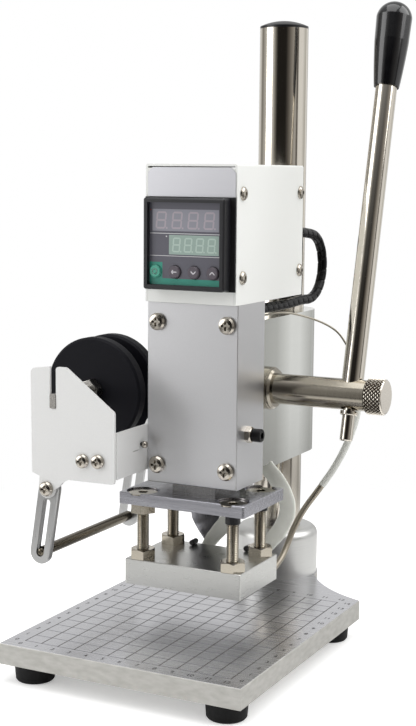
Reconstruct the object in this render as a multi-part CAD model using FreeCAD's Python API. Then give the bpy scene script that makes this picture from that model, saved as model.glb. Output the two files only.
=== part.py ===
import FreeCAD, Part
import math
import os

os.makedirs("parts", exist_ok=True)
V = FreeCAD.Vector
X_AXIS, Y_AXIS, Z_AXIS = V(1, 0, 0), V(0, 1, 0), V(0, 0, 1)

# Millimetres. X to the right, Y to the back, Z up; the origin is on the table top below the stamp axis.

# Base plate and its feet
PLATE_T = 11.0
PLATE_HALF_X = 70.0
PLATE_FRONT_Y = -95.0
FLARE_R = 82.0
FLARE_BEHIND = 38.6
TONGUE_EDGE = 0.6
FOOT_TOP_R = 11.0
FOOT_LOW_R = 10.3
FOOT_H = 10.0
FOOT_X = 56.2
FOOT_Y = (-81.5, 53.0)

# Column, its collar and cap
COL_Y = 102.4
COL_R = 14.4
COL_BORE_R = 11.4
COL_TOP = 329.0
COLLAR_R = 25.2
COLLAR_STRAIGHT = 23.5
COLLAR_H = 28.8
COLLAR_TOP_R = 18.6
SEAT_DEEP = 0.6
SEAT_GAP = 0.05
SWIVEL_GAP = 0.05
SLIDE_GAP = 0.04
CAP_H = 4.6

# Head
HEAD_HALF_X = 27.25
HEAD_FRONT = -13.3
HEAD_MID = 20.4
HEAD_LOW = 75.3
HEAD_TOP = 175.0
COVER_T = 3.0
REAR_HALF_X = HEAD_HALF_X - 6.25
REAR_LOW = 77.0
REAR_TOP = 163.0
COVER_SCREW_X = HEAD_HALF_X - 6.25
COVER_SCREW_Z = (85.2, 164.1)
WIRE_X, WIRE_Y, WIRE_R = HEAD_HALF_X - 6.75, 13.0, 4.0
BUNDLE_Z = 169.5
BUNDLE_R = 2.9
WIRE_LOW = 165.65

# Ram and its drive
RAM_HALF_X = 13.0
RAM_FRONT = -10.2
RAM_TOP = 170.0
MODULE = 1.5
TEETH = 18
PRESSURE_ANGLE = 20.0
SHAFT_Y = 33.4
SHAFT_Z = 125.0
SHAFT_R = 8.5
SHAFT_END_X = 83.3
GEAR_HALF = 12.0
BACKLASH = 0.16
BUSH_R = 12.0
BUSH_OUT = REAR_HALF_X + 8.4
KNOB_R = 10.0
KNOB_T = 10.7
LEVER_X = SHAFT_END_X - 9.6
LEVER_TILT = 14.7
LEVER_R = 6.0
STUB_R = 3.5
LEVER_GAP = 0.05
GRIP_FROM, GRIP_TO = 173.0, 222.0
BRAKE_Z = SHAFT_Z - 20.9
BRAKE_NUT_T = 3.2

# Tool: plate, bolts, heated block
TOP_PLATE = (38.0, 26.0, 64.1, 70.6)
BLOCK = (35.3, 24.0, 18.7, 32.9)
BOLT_X, BOLT_Y = 27.5, 17.5
BOLT_R = 3.5
THREAD_GAP = 0.02
BOLT_HEAD_R = 8.25
SINK_R = 9.0
BOLT_SUNK = 0.8
BOLT_DEEP = 7.4
NUT_AF = 13.0
NUT_T = 5.4
RING_R, RING_T = 4.2, 5.6
HEATER_X = (-12.5, 18.0)
HEATER_Z = 25.8
HEATER_R = 4.0
PROBE_X, PROBE_Z, PROBE_R = 30.5, 22.2, 1.7
PROBE_DEEP = 8.0
SLEEVE_START = (54.0, 79.0, 144.0)

# Control box and controller
BOX_HALF_X = HEAD_HALF_X - 0.1
BOX_FRONT, BOX_BACK = -15.9, 71.2
BOX_LOW, BOX_TOP = HEAD_TOP, 248.7
SHEET = 1.2
BEZEL_HALF = BOX_HALF_X - 3.15
BEZEL_Z = (BOX_LOW + 7.5, BOX_LOW + 56.0)
BEZEL_FRONT = BOX_FRONT - 8.8
WINDOW_Y = BEZEL_FRONT + 2.8
KEY_X = tuple(share * BEZEL_HALF for share in (-0.733, -0.246, 0.229, 0.692))
DISPLAY_HALF = BEZEL_HALF - 2.5
CASE_HALF = BEZEL_HALF - 1.7
KEY_Z = BEZEL_Z[0] + 9.5
KEY_R = 3.4
GROMMET_Z = BOX_LOW + 35.6
SWITCH_Z = BOX_TOP - 16.7
INLET_X = (-20.0, 7.2)
INLET_Z = BOX_LOW + 25.0

# Foil unit on the left
FOIL_FRONT_Y = -47.8
FOIL_REAR_Y = 55.0
FOIL_T = 1.6
WEB_LOW, WEB_TOP = 81.9, 107.0
AXLE_X, AXLE_Z = -HEAD_HALF_X - 39.1, 121.4
PLATE_IN_X = -HEAD_HALF_X - 0.75
SLOT_TOP = AXLE_Z + 18.8
SLOT_HALF = 1.95
DISC_R = 30.5
DISC_T = 8.0
DISC_FRONT_Y = (-7.1, 11.3)
LINK_TOP = (AXLE_X - 4.3, WEB_LOW - 9.1)
LINK_TILT = 9.2
LINK_W = 13.0
LINK_SPAN = 37.4
ROD_R = 3.0


def box(x0, x1, y0, y1, z0, z1):
    return Part.makeBox(x1 - x0, y1 - y0, z1 - z0, V(x0, y0, z0))


def cyl(radius, start, end):
    """Round bar between two points."""
    a, b = V(*start), V(*end)
    return Part.makeCylinder(radius, (b - a).Length, a, b - a)


def cone(r_start, r_end, start, end):
    a, b = V(*start), V(*end)
    return Part.makeCone(r_start, r_end, (b - a).Length, a, b - a)


def join(shapes):
    out = shapes[0].fuse(shapes[1:]) if len(shapes) > 1 else shapes[0]
    return out.removeSplitter()


def turned(profile, origin=(0, 0, 0), axis=None):
    """Solid of revolution of (radius, height) points about +Z, then laid along the axis at the origin."""
    pts = [V(r, 0, h) for r, h in profile]
    face = Part.Face(Part.makePolygon(pts + pts[:1]))
    body = face.revolve(V(0, 0, 0), Z_AXIS, 360)
    return placed(body, origin, axis)


def dome(edge_r, edge_z, crown_z):
    """Arc from a rim to the axis, centred on the axis, so that it turns into part of a ball."""
    rise = crown_z - edge_z
    ball = (edge_r ** 2 + rise ** 2) / (2 * rise)
    half = math.atan2(edge_r, ball - rise) / 2
    mid = V(ball * math.sin(half), 0, crown_z - ball + ball * math.cos(half))
    return Part.Arc(V(edge_r, 0, edge_z), mid, V(0, 0, crown_z)).toShape()


def placed(body, origin, axis=None):
    turn = FreeCAD.Rotation(Z_AXIS, axis) if axis else FreeCAD.Rotation()
    body.Placement = FreeCAD.Placement(V(*origin), turn).multiply(body.Placement)
    return body


def prism_y(points, y0, y1):
    """Outline in X and Z, made thick from y0 to y1."""
    pts = [V(x, y0, z) for x, z in points]
    return Part.Face(Part.makePolygon(pts + pts[:1])).extrude(V(0, y1 - y0, 0))


def prism_x(points, x0, x1):
    """Outline in Y and Z, made thick from x0 to x1."""
    pts = [V(x0, y, z) for y, z in points]
    return Part.Face(Part.makePolygon(pts + pts[:1])).extrude(V(x1 - x0, 0, 0))


def hexagon(across_flats, height, origin, bore=0.0, axis=None, turn=0.0):
    """Hexagon nut with its crests cut by a shallow cone, optionally bored."""
    r = across_flats / math.sqrt(3)
    corners = [V(r * math.cos(math.radians(60 * i + turn)), r * math.sin(math.radians(60 * i + turn)), 0)
               for i in range(6)]
    body = Part.Face(Part.makePolygon(corners + corners[:1])).extrude(V(0, 0, height))
    crest = turned([(0, 0), (r, 0), (r, height - 0.9), (across_flats / 2 - 0.3, height), (0, height)])
    body = body.common(crest)
    if bore:
        body = body.cut(cyl(bore, (0, 0, -1), (0, 0, height + 1)))
    return placed(body, origin, axis)


def pan_screw(head_r, head_h, shank_r, length, origin, axis, cross=True):
    """Domed head with a cross recess; the seat is at the origin and the head stands along the axis."""
    rim = head_h * 0.45
    prof = [(0, -length), (shank_r, -length), (shank_r, 0), (head_r, 0), (head_r, rim),
            (head_r * 0.82, head_h * 0.82), (head_r * 0.45, head_h), (0, head_h)]
    body = turned(prof)
    if cross:
        arm, half = head_r * 0.55, head_r * 0.13
        deep = head_h * 0.45
        body = body.cut([box(-arm, arm, -half, half, deep, head_h + 1),
                         box(-half, half, -arm, arm, deep, head_h + 1)])
    return placed(body, origin, axis)


def socket_screw(head_r, head_h, shank_r, length, origin, axis, sunk=False):
    """Cap screw with a hexagon socket; sunk gives it a countersunk head below the origin."""
    if sunk:
        prof = [(0, -length), (shank_r, -length), (shank_r, -head_h), (head_r, -0.4), (head_r, 0), (0, 0)]
        top, deep = 0.0, head_h * 0.7
    else:
        prof = [(0, -length), (shank_r, -length), (shank_r, 0), (head_r, 0), (head_r, head_h - 0.4),
                (head_r - 0.4, head_h), (0, head_h)]
        top, deep = head_h, head_h * 0.55
    body = turned(prof)
    key = hexagon(head_r * 0.95, deep + 1, (0, 0, top - deep))
    return placed(body.cut(key), origin, axis)


def sink(head_r, head_h, shank_r, origin, axis, deep=0.0):
    """Recess for a sunk head whose seat lies along the axis below the origin, set deeper if asked."""
    gap = 0.02
    prof = [(0, 1), (head_r + 0.1, 1), (head_r + 0.1, -deep - 0.4), (head_r + gap, -deep - 0.4),
            (shank_r + gap, -deep - head_h), (shank_r + gap, -deep - head_h - 0.5), (0, -deep - head_h - 0.5)]
    return turned(prof, origin, axis)


def rounded(body, picks, radius):
    """Rounds the straight edges that the test picks."""
    edges = [e for e in body.Edges if picks(e)]
    return body.makeFillet(radius, edges)


def upright(e):
    a, b = e.Vertexes[0].Point, e.Vertexes[-1].Point
    return len(e.Vertexes) == 2 and abs(a.x - b.x) < 1e-6 and abs(a.y - b.y) < 1e-6


def tube(points, radius, name):
    """Round cord: straight runs joined by tangent arcs through the turning points."""
    pts = [V(*p) for p in points]
    edges, at, radii, length = [], pts[0], [], 0.0
    for a, b, c in zip(pts, pts[1:], pts[2:]):
        u, w = (b - a).normalize(), (c - b).normalize()
        turn = u.getAngle(w)
        trim = 0.45 * min((b - a).Length, (c - b).Length)
        bend = trim / math.tan(turn / 2)
        start, end = b - u * trim, b + w * trim
        mid_dir = (w - u).normalize()
        mid = b + mid_dir * (bend / math.cos(turn / 2) - bend)
        edges += [Part.LineSegment(at, start).toShape(), Part.Arc(start, mid, end).toShape()]
        length += (start - at).Length + bend * turn
        radii.append(bend)
        at = end
    edges.append(Part.LineSegment(at, pts[-1]).toShape())
    length += (pts[-1] - at).Length
    path = Part.Wire(edges)
    ring = Part.Wire([Part.Circle(pts[0], pts[1] - pts[0], radius).toShape()])
    body = path.makePipeShell([ring], True, False)
    full = math.pi * radius ** 2 * length
    print(name, "radii", [round(r, 1) for r in radii], "length", round(length, 1),
          "volume share", round(body.Volume / full, 4))
    return body


def save(name, shapes):
    shapes = shapes if isinstance(shapes, list) else [shapes]
    solids = [s for shape in shapes for s in shape.Solids]
    out = solids[0] if len(solids) == 1 else Part.makeCompound(solids)
    out.exportStep("parts/" + name + ".step")


# Base: flat plate whose back narrows in two hollow curves to a round tongue below the column
def base_plate():
    x_join = COLLAR_R + TONGUE_EDGE
    x_start = PLATE_HALF_X
    centre_x = x_join + math.sqrt(FLARE_R ** 2 - FLARE_BEHIND ** 2)
    centre_y = COL_Y + FLARE_BEHIND

    def flare(x, side):
        return V(side * x, centre_y - math.sqrt(FLARE_R ** 2 - (centre_x - x) ** 2), -PLATE_T)

    def flare_edge(side, first, last):
        return Part.Arc(first, flare((x_start + x_join) / 2, side), last).toShape()

    right_out, right_in = flare(x_start, 1), flare(x_join, 1)
    left_out, left_in = flare(x_start, -1), flare(x_join, -1)
    front_r, front_l = V(x_start, PLATE_FRONT_Y, -PLATE_T), V(-x_start, PLATE_FRONT_Y, -PLATE_T)
    edges = [Part.LineSegment(front_l, front_r).toShape(), Part.LineSegment(front_r, right_out).toShape(),
             flare_edge(1, right_out, right_in),
             Part.Arc(right_in, V(0, COL_Y + x_join, -PLATE_T), left_in).toShape(),
             flare_edge(-1, left_in, left_out), Part.LineSegment(left_out, front_l).toShape()]
    plate = Part.Face(Part.Wire(edges)).extrude(V(0, 0, PLATE_T))
    straight = [e for e in plate.Edges if abs(e.BoundBox.ZMin) < 1e-6 and isinstance(e.Curve, Part.Line)]
    plate = plate.makeChamfer(0.5, straight)
    holes = [cyl(2.05, (x, y, -PLATE_T - 1), (x, y, -3)) for x, y in foot_centres()]
    holes.append(cyl(COLLAR_R + SEAT_GAP, (0, COL_Y, -SEAT_DEEP), (0, COL_Y, 1)))
    for x, y in collar_screw_centres():
        holes += [cyl(2.6, (x, y, -PLATE_T - 1), (x, y, 1)),
                  sink(4.9, 2.7, 2.45, (x, y, -PLATE_T), V(0, 0, -1))]
    return plate.cut(holes)


def foot_centres():
    return [(sx * FOOT_X, y) for sx in (-1, 1) for y in FOOT_Y]


def collar_screw_centres():
    ring = (COL_R + COLLAR_R) / 2
    return [(ring * math.cos(math.radians(a)), COL_Y + ring * math.sin(math.radians(a)))
            for a in (30, 150, 270)]


def rubber_foot(x, y):
    low, top = -PLATE_T - FOOT_H, -PLATE_T
    prof = [(2.2, 0), (FOOT_TOP_R, 0), (FOOT_LOW_R, -FOOT_H + 1), (FOOT_LOW_R - 0.8, -FOOT_H), (5.2, -FOOT_H),
            (5.2, -FOOT_H + 5), (2.2, -FOOT_H + 5)]
    return turned(prof, (x, y, top))


def foot_screw(x, y):
    seat = -PLATE_T - FOOT_H + 5
    return pan_screw(4.2, 2.6, 1.95, 11.5, (x, y, seat), V(0, 0, -1))


def collar():
    bore = COL_R + SWIVEL_GAP
    step, rise = COLLAR_R - COLLAR_TOP_R, COLLAR_H - COLLAR_STRAIGHT
    bend = (step ** 2 + rise ** 2) / (2 * step)
    half = math.atan2(rise, bend - step) / 2
    start, end = V(COLLAR_R, 0, COLLAR_STRAIGHT), V(COLLAR_TOP_R, 0, COLLAR_H)
    mid = V(COLLAR_R - bend + bend * math.cos(half), 0, COLLAR_STRAIGHT + bend * math.sin(half))
    seat = -SEAT_DEEP
    edges = [Part.LineSegment(V(bore, 0, seat), V(COLLAR_R, 0, seat)).toShape(),
             Part.LineSegment(V(COLLAR_R, 0, seat), start).toShape(), Part.Arc(start, mid, end).toShape(),
             Part.LineSegment(end, V(bore, 0, COLLAR_H)).toShape(),
             Part.LineSegment(V(bore, 0, COLLAR_H), V(bore, 0, seat)).toShape()]
    body = placed(Part.Face(Part.Wire(edges)).revolve(V(0, 0, 0), Z_AXIS, 360), (0, COL_Y, 0))
    holes = [cyl(2.5, (x, y, -1), (x, y, 12)) for x, y in collar_screw_centres()]
    holes.append(cyl(3.0, (0, COL_Y + COL_R - 1, 14), (0, COL_Y + COLLAR_R + 1, 14)))
    return body.cut(holes)


def collar_screw(x, y):
    return socket_screw(4.9, 2.7, 2.45, 21, (x, y, -PLATE_T), V(0, 0, -1), sunk=True)


def collar_set_screw():
    inner, outer = COL_Y + COL_R + 0.05, COL_Y + COLLAR_R - 0.6
    body = cyl(2.95, (0, inner, 14), (0, outer, 14))
    return body.cut(hexagon(3.0, 3, (0, outer - 2.5, 14), axis=Y_AXIS))


def column():
    tube_wall = cyl(COL_R, (0, COL_Y, -SEAT_DEEP), (0, COL_Y, COL_TOP))
    return tube_wall.cut(cyl(COL_BORE_R, (0, COL_Y, -1), (0, COL_Y, COL_TOP + 1)))


def column_cap():
    plug, rim = COL_BORE_R - 0.05, COL_R - 0.1
    low = [V(0, 0, CAP_H), V(0, 0, -9), V(plug, 0, -9), V(plug, 0, 0), V(rim, 0, 0), V(rim, 0, 1.4)]
    edges = [Part.LineSegment(a, b).toShape() for a, b in zip(low, low[1:])]
    edges.append(dome(rim, 1.4, CAP_H))
    return placed(Part.Face(Part.Wire(edges)).revolve(V(0, 0, 0), Z_AXIS, 360), (0, COL_Y, COL_TOP))


# Head: ram housing in front, column clamp behind, machined from one block
def head_body():
    front_y = HEAD_FRONT + COVER_T
    front = box(-HEAD_HALF_X, HEAD_HALF_X, front_y, HEAD_MID, HEAD_LOW, HEAD_TOP)
    rear = join([box(-REAR_HALF_X, REAR_HALF_X, HEAD_MID - 1, COL_Y, REAR_LOW, REAR_TOP),
                 cyl(REAR_HALF_X, (0, COL_Y, REAR_LOW), (0, COL_Y, REAR_TOP))])
    body = join([front, rear])
    cavity = box(-RAM_HALF_X - 0.1, RAM_HALF_X + 0.1, front_y - 1, pitch_y() + MODULE + 0.5, HEAD_LOW - 5,
                 RAM_TOP + 1.5)
    gear_r = MODULE * (TEETH + 2) / 2 + 0.5
    shaft_at = (SHAFT_Y, SHAFT_Z)
    cuts = [cavity,
            cyl(COL_R + SLIDE_GAP, (0, COL_Y, REAR_LOW - 1), (0, COL_Y, REAR_TOP + 1)),
            cyl(gear_r, (-HEAD_HALF_X - 1, *shaft_at), (RAM_HALF_X + 0.1, *shaft_at)),
            cyl(10.0, (0, *shaft_at), (HEAD_HALF_X, *shaft_at)),
            cyl(WIRE_R, (WIRE_X, WIRE_Y, REAR_LOW + 3), (WIRE_X, WIRE_Y, BUNDLE_Z)),
            cyl(WIRE_R + 0.6, (WIRE_X, WIRE_Y, BUNDLE_Z), (WIRE_X, HEAD_MID + 1, BUNDLE_Z)),
            box(WIRE_X - 7.3, HEAD_HALF_X - 2.5, WIRE_Y - 4, HEAD_MID + 0.01, HEAD_LOW - 1, REAR_LOW + 4),
            box(WIRE_X - 7.3, REAR_HALF_X + 1, HEAD_MID, HEAD_MID + 27, REAR_LOW - 1, REAR_LOW + 2.6),
            cyl(2.05, (RAM_HALF_X, 0, BRAKE_Z), (HEAD_HALF_X + 1, 0, BRAKE_Z))]
    for x, z in cover_screw_centres():
        cuts.append(cyl(1.75, (x, front_y - 1, z), (x, front_y + 9, z)))
    for y, z in cap_screw_centres():
        cuts.append(cyl(1.3, (-REAR_HALF_X - 1, y, z), (-REAR_HALF_X + 6, y, z)))
    for z in clamp_heights():
        cuts.append(cyl(3.05, (0, COL_Y + COL_R - 2, z), (0, COL_Y + REAR_HALF_X + 1, z)))
    for y, z in web_screw_centres():
        cuts.append(cyl(1.55, (-HEAD_HALF_X - 1, y, z), (-HEAD_HALF_X + 7, y, z)))
    return body.cut(cuts)


def pitch_y():
    return SHAFT_Y - MODULE * TEETH / 2


def cover_screw_centres():
    return [(sx * COVER_SCREW_X, z) for sx in (-1, 1) for z in COVER_SCREW_Z]


def cap_screw_centres():
    r = 18.2
    return [(SHAFT_Y + r * math.cos(math.radians(a)), SHAFT_Z + r * math.sin(math.radians(a)))
            for a in (-75, 0, 75)]


def clamp_heights():
    return (REAR_LOW + 22, REAR_TOP - 22)


def web_screw_centres():
    return [(HEAD_FRONT + 5.0, WEB_LOW + 12.9), (HEAD_MID - 8.4, WEB_LOW + 12.9)]


def cover_plate():
    body = box(-HEAD_HALF_X, HEAD_HALF_X, HEAD_FRONT, HEAD_FRONT + COVER_T, HEAD_LOW, HEAD_TOP)
    body = body.makeChamfer(0.4, [e for e in body.Edges if e.BoundBox.YMax < HEAD_FRONT + 0.01])
    return body.cut([cyl(2.0, (x, HEAD_FRONT - 1, z), (x, HEAD_FRONT + COVER_T + 1, z))
                     for x, z in cover_screw_centres()])


def cover_screw(x, z):
    return pan_screw(4.75, 2.9, 1.7, 10, (x, HEAD_FRONT, z), V(0, -1, 0))


def clamp_pad(z):
    return cyl(2.9, (0, COL_Y + COL_R + 0.15, z), (0, COL_Y + COL_R + 2.2, z))


def clamp_screw(z):
    inner, outer = COL_Y + COL_R + 2.2, COL_Y + REAR_HALF_X + 4
    body = cyl(2.95, (0, inner, z), (0, outer, z))
    return body.cut(hexagon(3.0, 4, (0, outer - 3, z), axis=Y_AXIS))


# Drive: rack on the ram's back and pinion on the cross shaft
def ram():
    root_y = pitch_y() - 1.25 * MODULE
    low = TOP_PLATE[3]
    body = box(-RAM_HALF_X, RAM_HALF_X, RAM_FRONT, root_y, low, RAM_TOP)
    pitch = math.pi * MODULE
    half = pitch / 4 - BACKLASH / 2
    slope = math.tan(math.radians(PRESSURE_ANGLE))
    teeth = []
    for i in range(-3, 9):
        z = SHAFT_Z + i * pitch
        out = [(root_y - 0.5, z - half - (1.25 * MODULE + 0.5) * slope),
               (pitch_y() + MODULE, z - half + MODULE * slope),
               (pitch_y() + MODULE, z + half - MODULE * slope),
               (root_y - 0.5, z + half + (1.25 * MODULE + 0.5) * slope)]
        teeth.append(prism_x(out, -GEAR_HALF, GEAR_HALF))
    back = box(-RAM_HALF_X, RAM_HALF_X, root_y - 0.5, root_y, low, RAM_TOP)
    kept = box(-RAM_HALF_X - 7, RAM_HALF_X + 7, root_y - 0.5, 40, low, RAM_TOP)
    body = body.fuse([tooth.common(kept) for tooth in teeth] + [back]).removeSplitter()
    holes = [cyl(2.1, (x, y, low - 1), (x, y, low + 14)) for x, y in ram_screw_centres()]
    return body.cut(holes)


def ram_screw_centres():
    return [(x, y) for x in (-7.5, 7.5) for y in (-3.5, 11.5)]


def involute_gear():
    """Pinion blank with straight-cut teeth whose flanks are sampled involutes joined as one outline."""
    rp = MODULE * TEETH / 2
    ra, rf, rb = rp + MODULE, rp - 1.25 * MODULE, rp * math.cos(math.radians(PRESSURE_ANGLE))

    def flank_angle(r):
        a = math.acos(min(1.0, rb / r))
        return math.tan(a) - a

    half_at_pitch = (math.pi * MODULE / 2 - BACKLASH) / (2 * rp)
    base = half_at_pitch + flank_angle(rp)
    radii = [rb + (ra - rb) * k / 5 for k in range(6)]
    pts = []
    for i in range(TEETH):
        mid = math.radians(180 + 360.0 / TEETH * (i + 0.5))
        half = [(r, base - flank_angle(r)) for r in radii]
        rise = [(rf, base)] + half
        pts += [(r, mid - a) for r, a in rise] + [(r, mid + a) for r, a in reversed(rise)]
    outline = [(SHAFT_Y + r * math.cos(a), SHAFT_Z + r * math.sin(a)) for r, a in pts]
    return prism_x(outline, -GEAR_HALF, GEAR_HALF)


def lever_dir():
    t = math.radians(LEVER_TILT)
    return V(0, math.sin(t), math.cos(t))


def along_lever(t):
    d = lever_dir()
    return (LEVER_X, SHAFT_Y + d.y * t, SHAFT_Z + d.z * t)


def pinion_shaft():
    at = (SHAFT_Y, SHAFT_Z)
    body = join([involute_gear(), cyl(SHAFT_R, (-REAR_HALF_X + 0.6, *at), (SHAFT_END_X, *at))])
    return body.cut([cyl(LEVER_R + LEVER_GAP, along_lever(-4), along_lever(12)),
                     cyl(STUB_R + LEVER_GAP, along_lever(-12), along_lever(-3)),
                     cyl(3.05, (LEVER_X, *at), (SHAFT_END_X + 1, *at))])


def bearing_bush():
    bore = SHAFT_R + SWIVEL_GAP
    start = RAM_HALF_X + 0.3
    flange, out = REAR_HALF_X - start, BUSH_OUT - start
    prof = [(bore, 0), (9.95, 0), (9.95, flange), (BUSH_R, flange), (BUSH_R, out - 2.4),
            (BUSH_R - 0.5, out - 2.2),
            (BUSH_R - 0.5, out - 1.2), (BUSH_R - 1.6, out), (bore, out)]
    return turned(prof, (start, SHAFT_Y, SHAFT_Z), X_AXIS)


def bearing_cap():
    bore = SHAFT_R + SWIVEL_GAP
    spigot, depth, outer = MODULE * (TEETH + 2) / 2 + 0.45, REAR_HALF_X - GEAR_HALF - 1.2, 21.0
    prof = [(bore, -depth), (spigot, -depth), (spigot, 0), (outer, 0), (outer, 2.2), (outer - 0.8, 3), (0, 3),
            (0, 0.2),
            (bore, 0.2)]
    body = turned(prof, (-REAR_HALF_X, SHAFT_Y, SHAFT_Z), V(-1, 0, 0))
    body = body.cut(box(-40, 0, SHAFT_Y - 30, HEAD_MID + 0.05, SHAFT_Z - 30, SHAFT_Z + 30).cut(
        cyl(spigot, (-REAR_HALF_X, SHAFT_Y, SHAFT_Z), (0, SHAFT_Y, SHAFT_Z))))
    return body.cut([cyl(1.65, (-40, y, z), (0, y, z)) for y, z in cap_screw_centres()])


def cap_screw(y, z):
    return pan_screw(2.7, 1.9, 1.25, 7, (-REAR_HALF_X - 3, y, z), V(-1, 0, 0))


def lever_rod():
    rod = join([cyl(LEVER_R, along_lever(-4), along_lever(GRIP_TO - 12)),
                cyl(STUB_R, along_lever(-25.5), along_lever(-4))])
    tip = [e for e in rod.Edges if (e.CenterOfMass - V(*along_lever(-25.5))).Length < 0.01]
    return rod.makeChamfer(0.6, tip) if tip else rod


def lever_nut():
    ring = turned([(STUB_R + LEVER_GAP, 0), (4.9, 0), (4.9, 1.9), (4.5, 2.3), (STUB_R + LEVER_GAP, 2.3)])
    return placed(ring, along_lever(-SHAFT_R - 0.6), lever_dir() * -1)


def lever_grip():
    hole, low, top, wide = LEVER_R + 0.02, GRIP_FROM, GRIP_TO, 10.0
    floor = top - 12
    foot, waist, neck = V(7.0, 0, low), V(7.25, 0, low + 1.2), V(9.6, 0, low + 26)
    shoulder = V(wide, 0, top - 9)
    line = [V(0, 0, top), V(0, 0, floor), V(hole, 0, floor), V(hole, 0, low), foot, waist]
    edges = [Part.LineSegment(a, b).toShape() for a, b in zip(line, line[1:])]
    edges += [Part.Arc(waist, V(8.6, 0, low + 13.5), neck).toShape(),
              Part.LineSegment(neck, shoulder).toShape(),
              dome(wide, top - 9, top)]
    body = Part.Face(Part.Wire(edges)).revolve(V(0, 0, 0), Z_AXIS, 360)
    return placed(body, along_lever(0), lever_dir())


def shaft_knob():
    rim = KNOB_T
    stem = 3.0
    prof = [(0, -3.3), (stem, -3.3), (stem, 0.1), (9.0, 0.1), (KNOB_R, 1.0), (KNOB_R, rim - 1.2),
            (KNOB_R - 0.9, rim - 0.3),
            (KNOB_R - 1.4, rim), (0, rim)]
    body = turned(prof)
    notch = box(KNOB_R - 0.35, KNOB_R + 1, -0.28, 0.28, 0.9, rim - 1.1)
    notches = [notch.rotated(V(0, 0, 0), Z_AXIS, 10 * i) for i in range(36)]
    return placed(body.cut(notches), (SHAFT_END_X, SHAFT_Y, SHAFT_Z), X_AXIS)


def brake_screw():
    inner, head = RAM_HALF_X + 0.05, HEAD_HALF_X + BRAKE_NUT_T + 0.55
    return socket_screw(3.6, 5.0, 1.95, head - inner, (head, 0, BRAKE_Z), X_AXIS)


def brake_lock_nut():
    return hexagon(8.0, BRAKE_NUT_T, (HEAD_HALF_X, 0, BRAKE_Z), bore=2.0, axis=X_AXIS)


# Tool: bolted plate above, heated block below
def bolt_centres():
    return [(sx * BOLT_X, sy * BOLT_Y) for sx in (-1, 1) for sy in (-1, 1)]


def top_plate():
    hx, hy, low, top = TOP_PLATE
    body = rounded(box(-hx, hx, -hy, hy, low, top), upright, 1.2)
    body = body.makeChamfer(0.35, [e for e in body.Edges if e.BoundBox.ZMin > top - 1e-6])
    cuts = []
    for x, y in bolt_centres():
        cuts += [cyl(BOLT_R + 0.15, (x, y, low - 1), (x, y, top + 1)),
                 cyl(SINK_R, (x, y, top - BOLT_SUNK - 0.5), (x, y, top + 1)),
                 cone(BOLT_R + THREAD_GAP, BOLT_HEAD_R + THREAD_GAP, (x, y, top - BOLT_SUNK - 4.7),
                      (x, y, top - BOLT_SUNK - 0.5))]
    for x, y in ram_screw_centres():
        cuts += [cyl(2.15, (x, y, low - 1), (x, y, top + 1)), sink(4.0, 1.9, 2.0, (x, y, low), V(0, 0, -1))]
    return body.cut(cuts)


def ram_screw(x, y):
    return socket_screw(4.0, 1.9, 2.0, 17, (x, y, TOP_PLATE[2]), V(0, 0, -1), sunk=True)


def plate_bolt(x, y):
    top, low = TOP_PLATE[3] - BOLT_SUNK, BLOCK[3] - BOLT_DEEP
    head = BOLT_HEAD_R
    prof = [(0, low - top), (BOLT_R, low - top), (BOLT_R, -4.7), (head, -0.5), (head, 0), (0, 0)]
    body = turned(prof, (x, y, top))
    return body.cut(hexagon(5.0, 4, (x, y, top - 3)))


def upper_nut(x, y):
    """Hexagon nut under the plate on the left pair of bolts, a narrow ring on the right pair."""
    if x < 0:
        return hexagon(NUT_AF, NUT_T, (x, y, TOP_PLATE[2] - NUT_T), bore=BOLT_R + THREAD_GAP)
    ring = [(BOLT_R + THREAD_GAP, -RING_T), (RING_R - 0.3, -RING_T), (RING_R, 0.3 - RING_T), (RING_R, 0),
            (BOLT_R + THREAD_GAP, 0)]
    return turned(ring, (x, y, TOP_PLATE[2]))


def heated_block():
    hx, hy, low, top = BLOCK
    body = rounded(box(-hx, hx, -hy, hy, low, top), upright, 0.8)
    body = body.makeChamfer(0.4, [e for e in body.Edges if e.BoundBox.ZMin > top - 1e-6])
    cuts = [cyl(BOLT_R + THREAD_GAP, (x, y, BLOCK[3] - BOLT_DEEP - 0.5), (x, y, top + 1))
            for x, y in bolt_centres()]
    cuts += [cyl(HEATER_R + 0.05, (x, -hy + 5, HEATER_Z), (x, hy + 1, HEATER_Z)) for x in HEATER_X]
    cuts.append(cyl(PROBE_R + 0.02, (PROBE_X, hy - PROBE_DEEP, PROBE_Z), (PROBE_X, hy + 1, PROBE_Z)))
    return body.cut(cuts)


def heater(x):
    hy = BLOCK[1]
    return join([cyl(HEATER_R, (x, -hy + 6, HEATER_Z), (x, hy + 1.5, HEATER_Z)),
                 cyl(HEATER_R - 0.9, (x, hy + 1.5, HEATER_Z), (x, hy + 3, HEATER_Z))])


def probe():
    hy = BLOCK[1]
    return join([cyl(PROBE_R, (PROBE_X, hy - PROBE_DEEP, PROBE_Z), (PROBE_X, hy + 6, PROBE_Z)),
                 hexagon(5.2, 2.4, (PROBE_X, hy, PROBE_Z), axis=Y_AXIS)])


def ribbon(points, widths, thick, last=None):
    """Flat sleeve: ruled loft through rectangles set across the route, level at its upper end."""
    pts = [V(*p) for p in points]
    wires = []
    for i, p in enumerate(pts):
        t = (pts[min(i + 1, len(pts) - 1)] - pts[max(i - 1, 0)]).normalize()
        if i == 0:
            t = V(0, 0, -1)
        if i == len(pts) - 1 and last:
            t = last
        w = (X_AXIS - t * X_AXIS.dot(t)).normalize()
        n = t.cross(w)
        a, b = w * (widths[i] / 2), n * (thick / 2)
        wires.append(Part.makePolygon([p - a - b, p + a - b, p + a + b, p - a + b, p - a - b]))
    return Part.makeLoft(wires, True, True)


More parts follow.
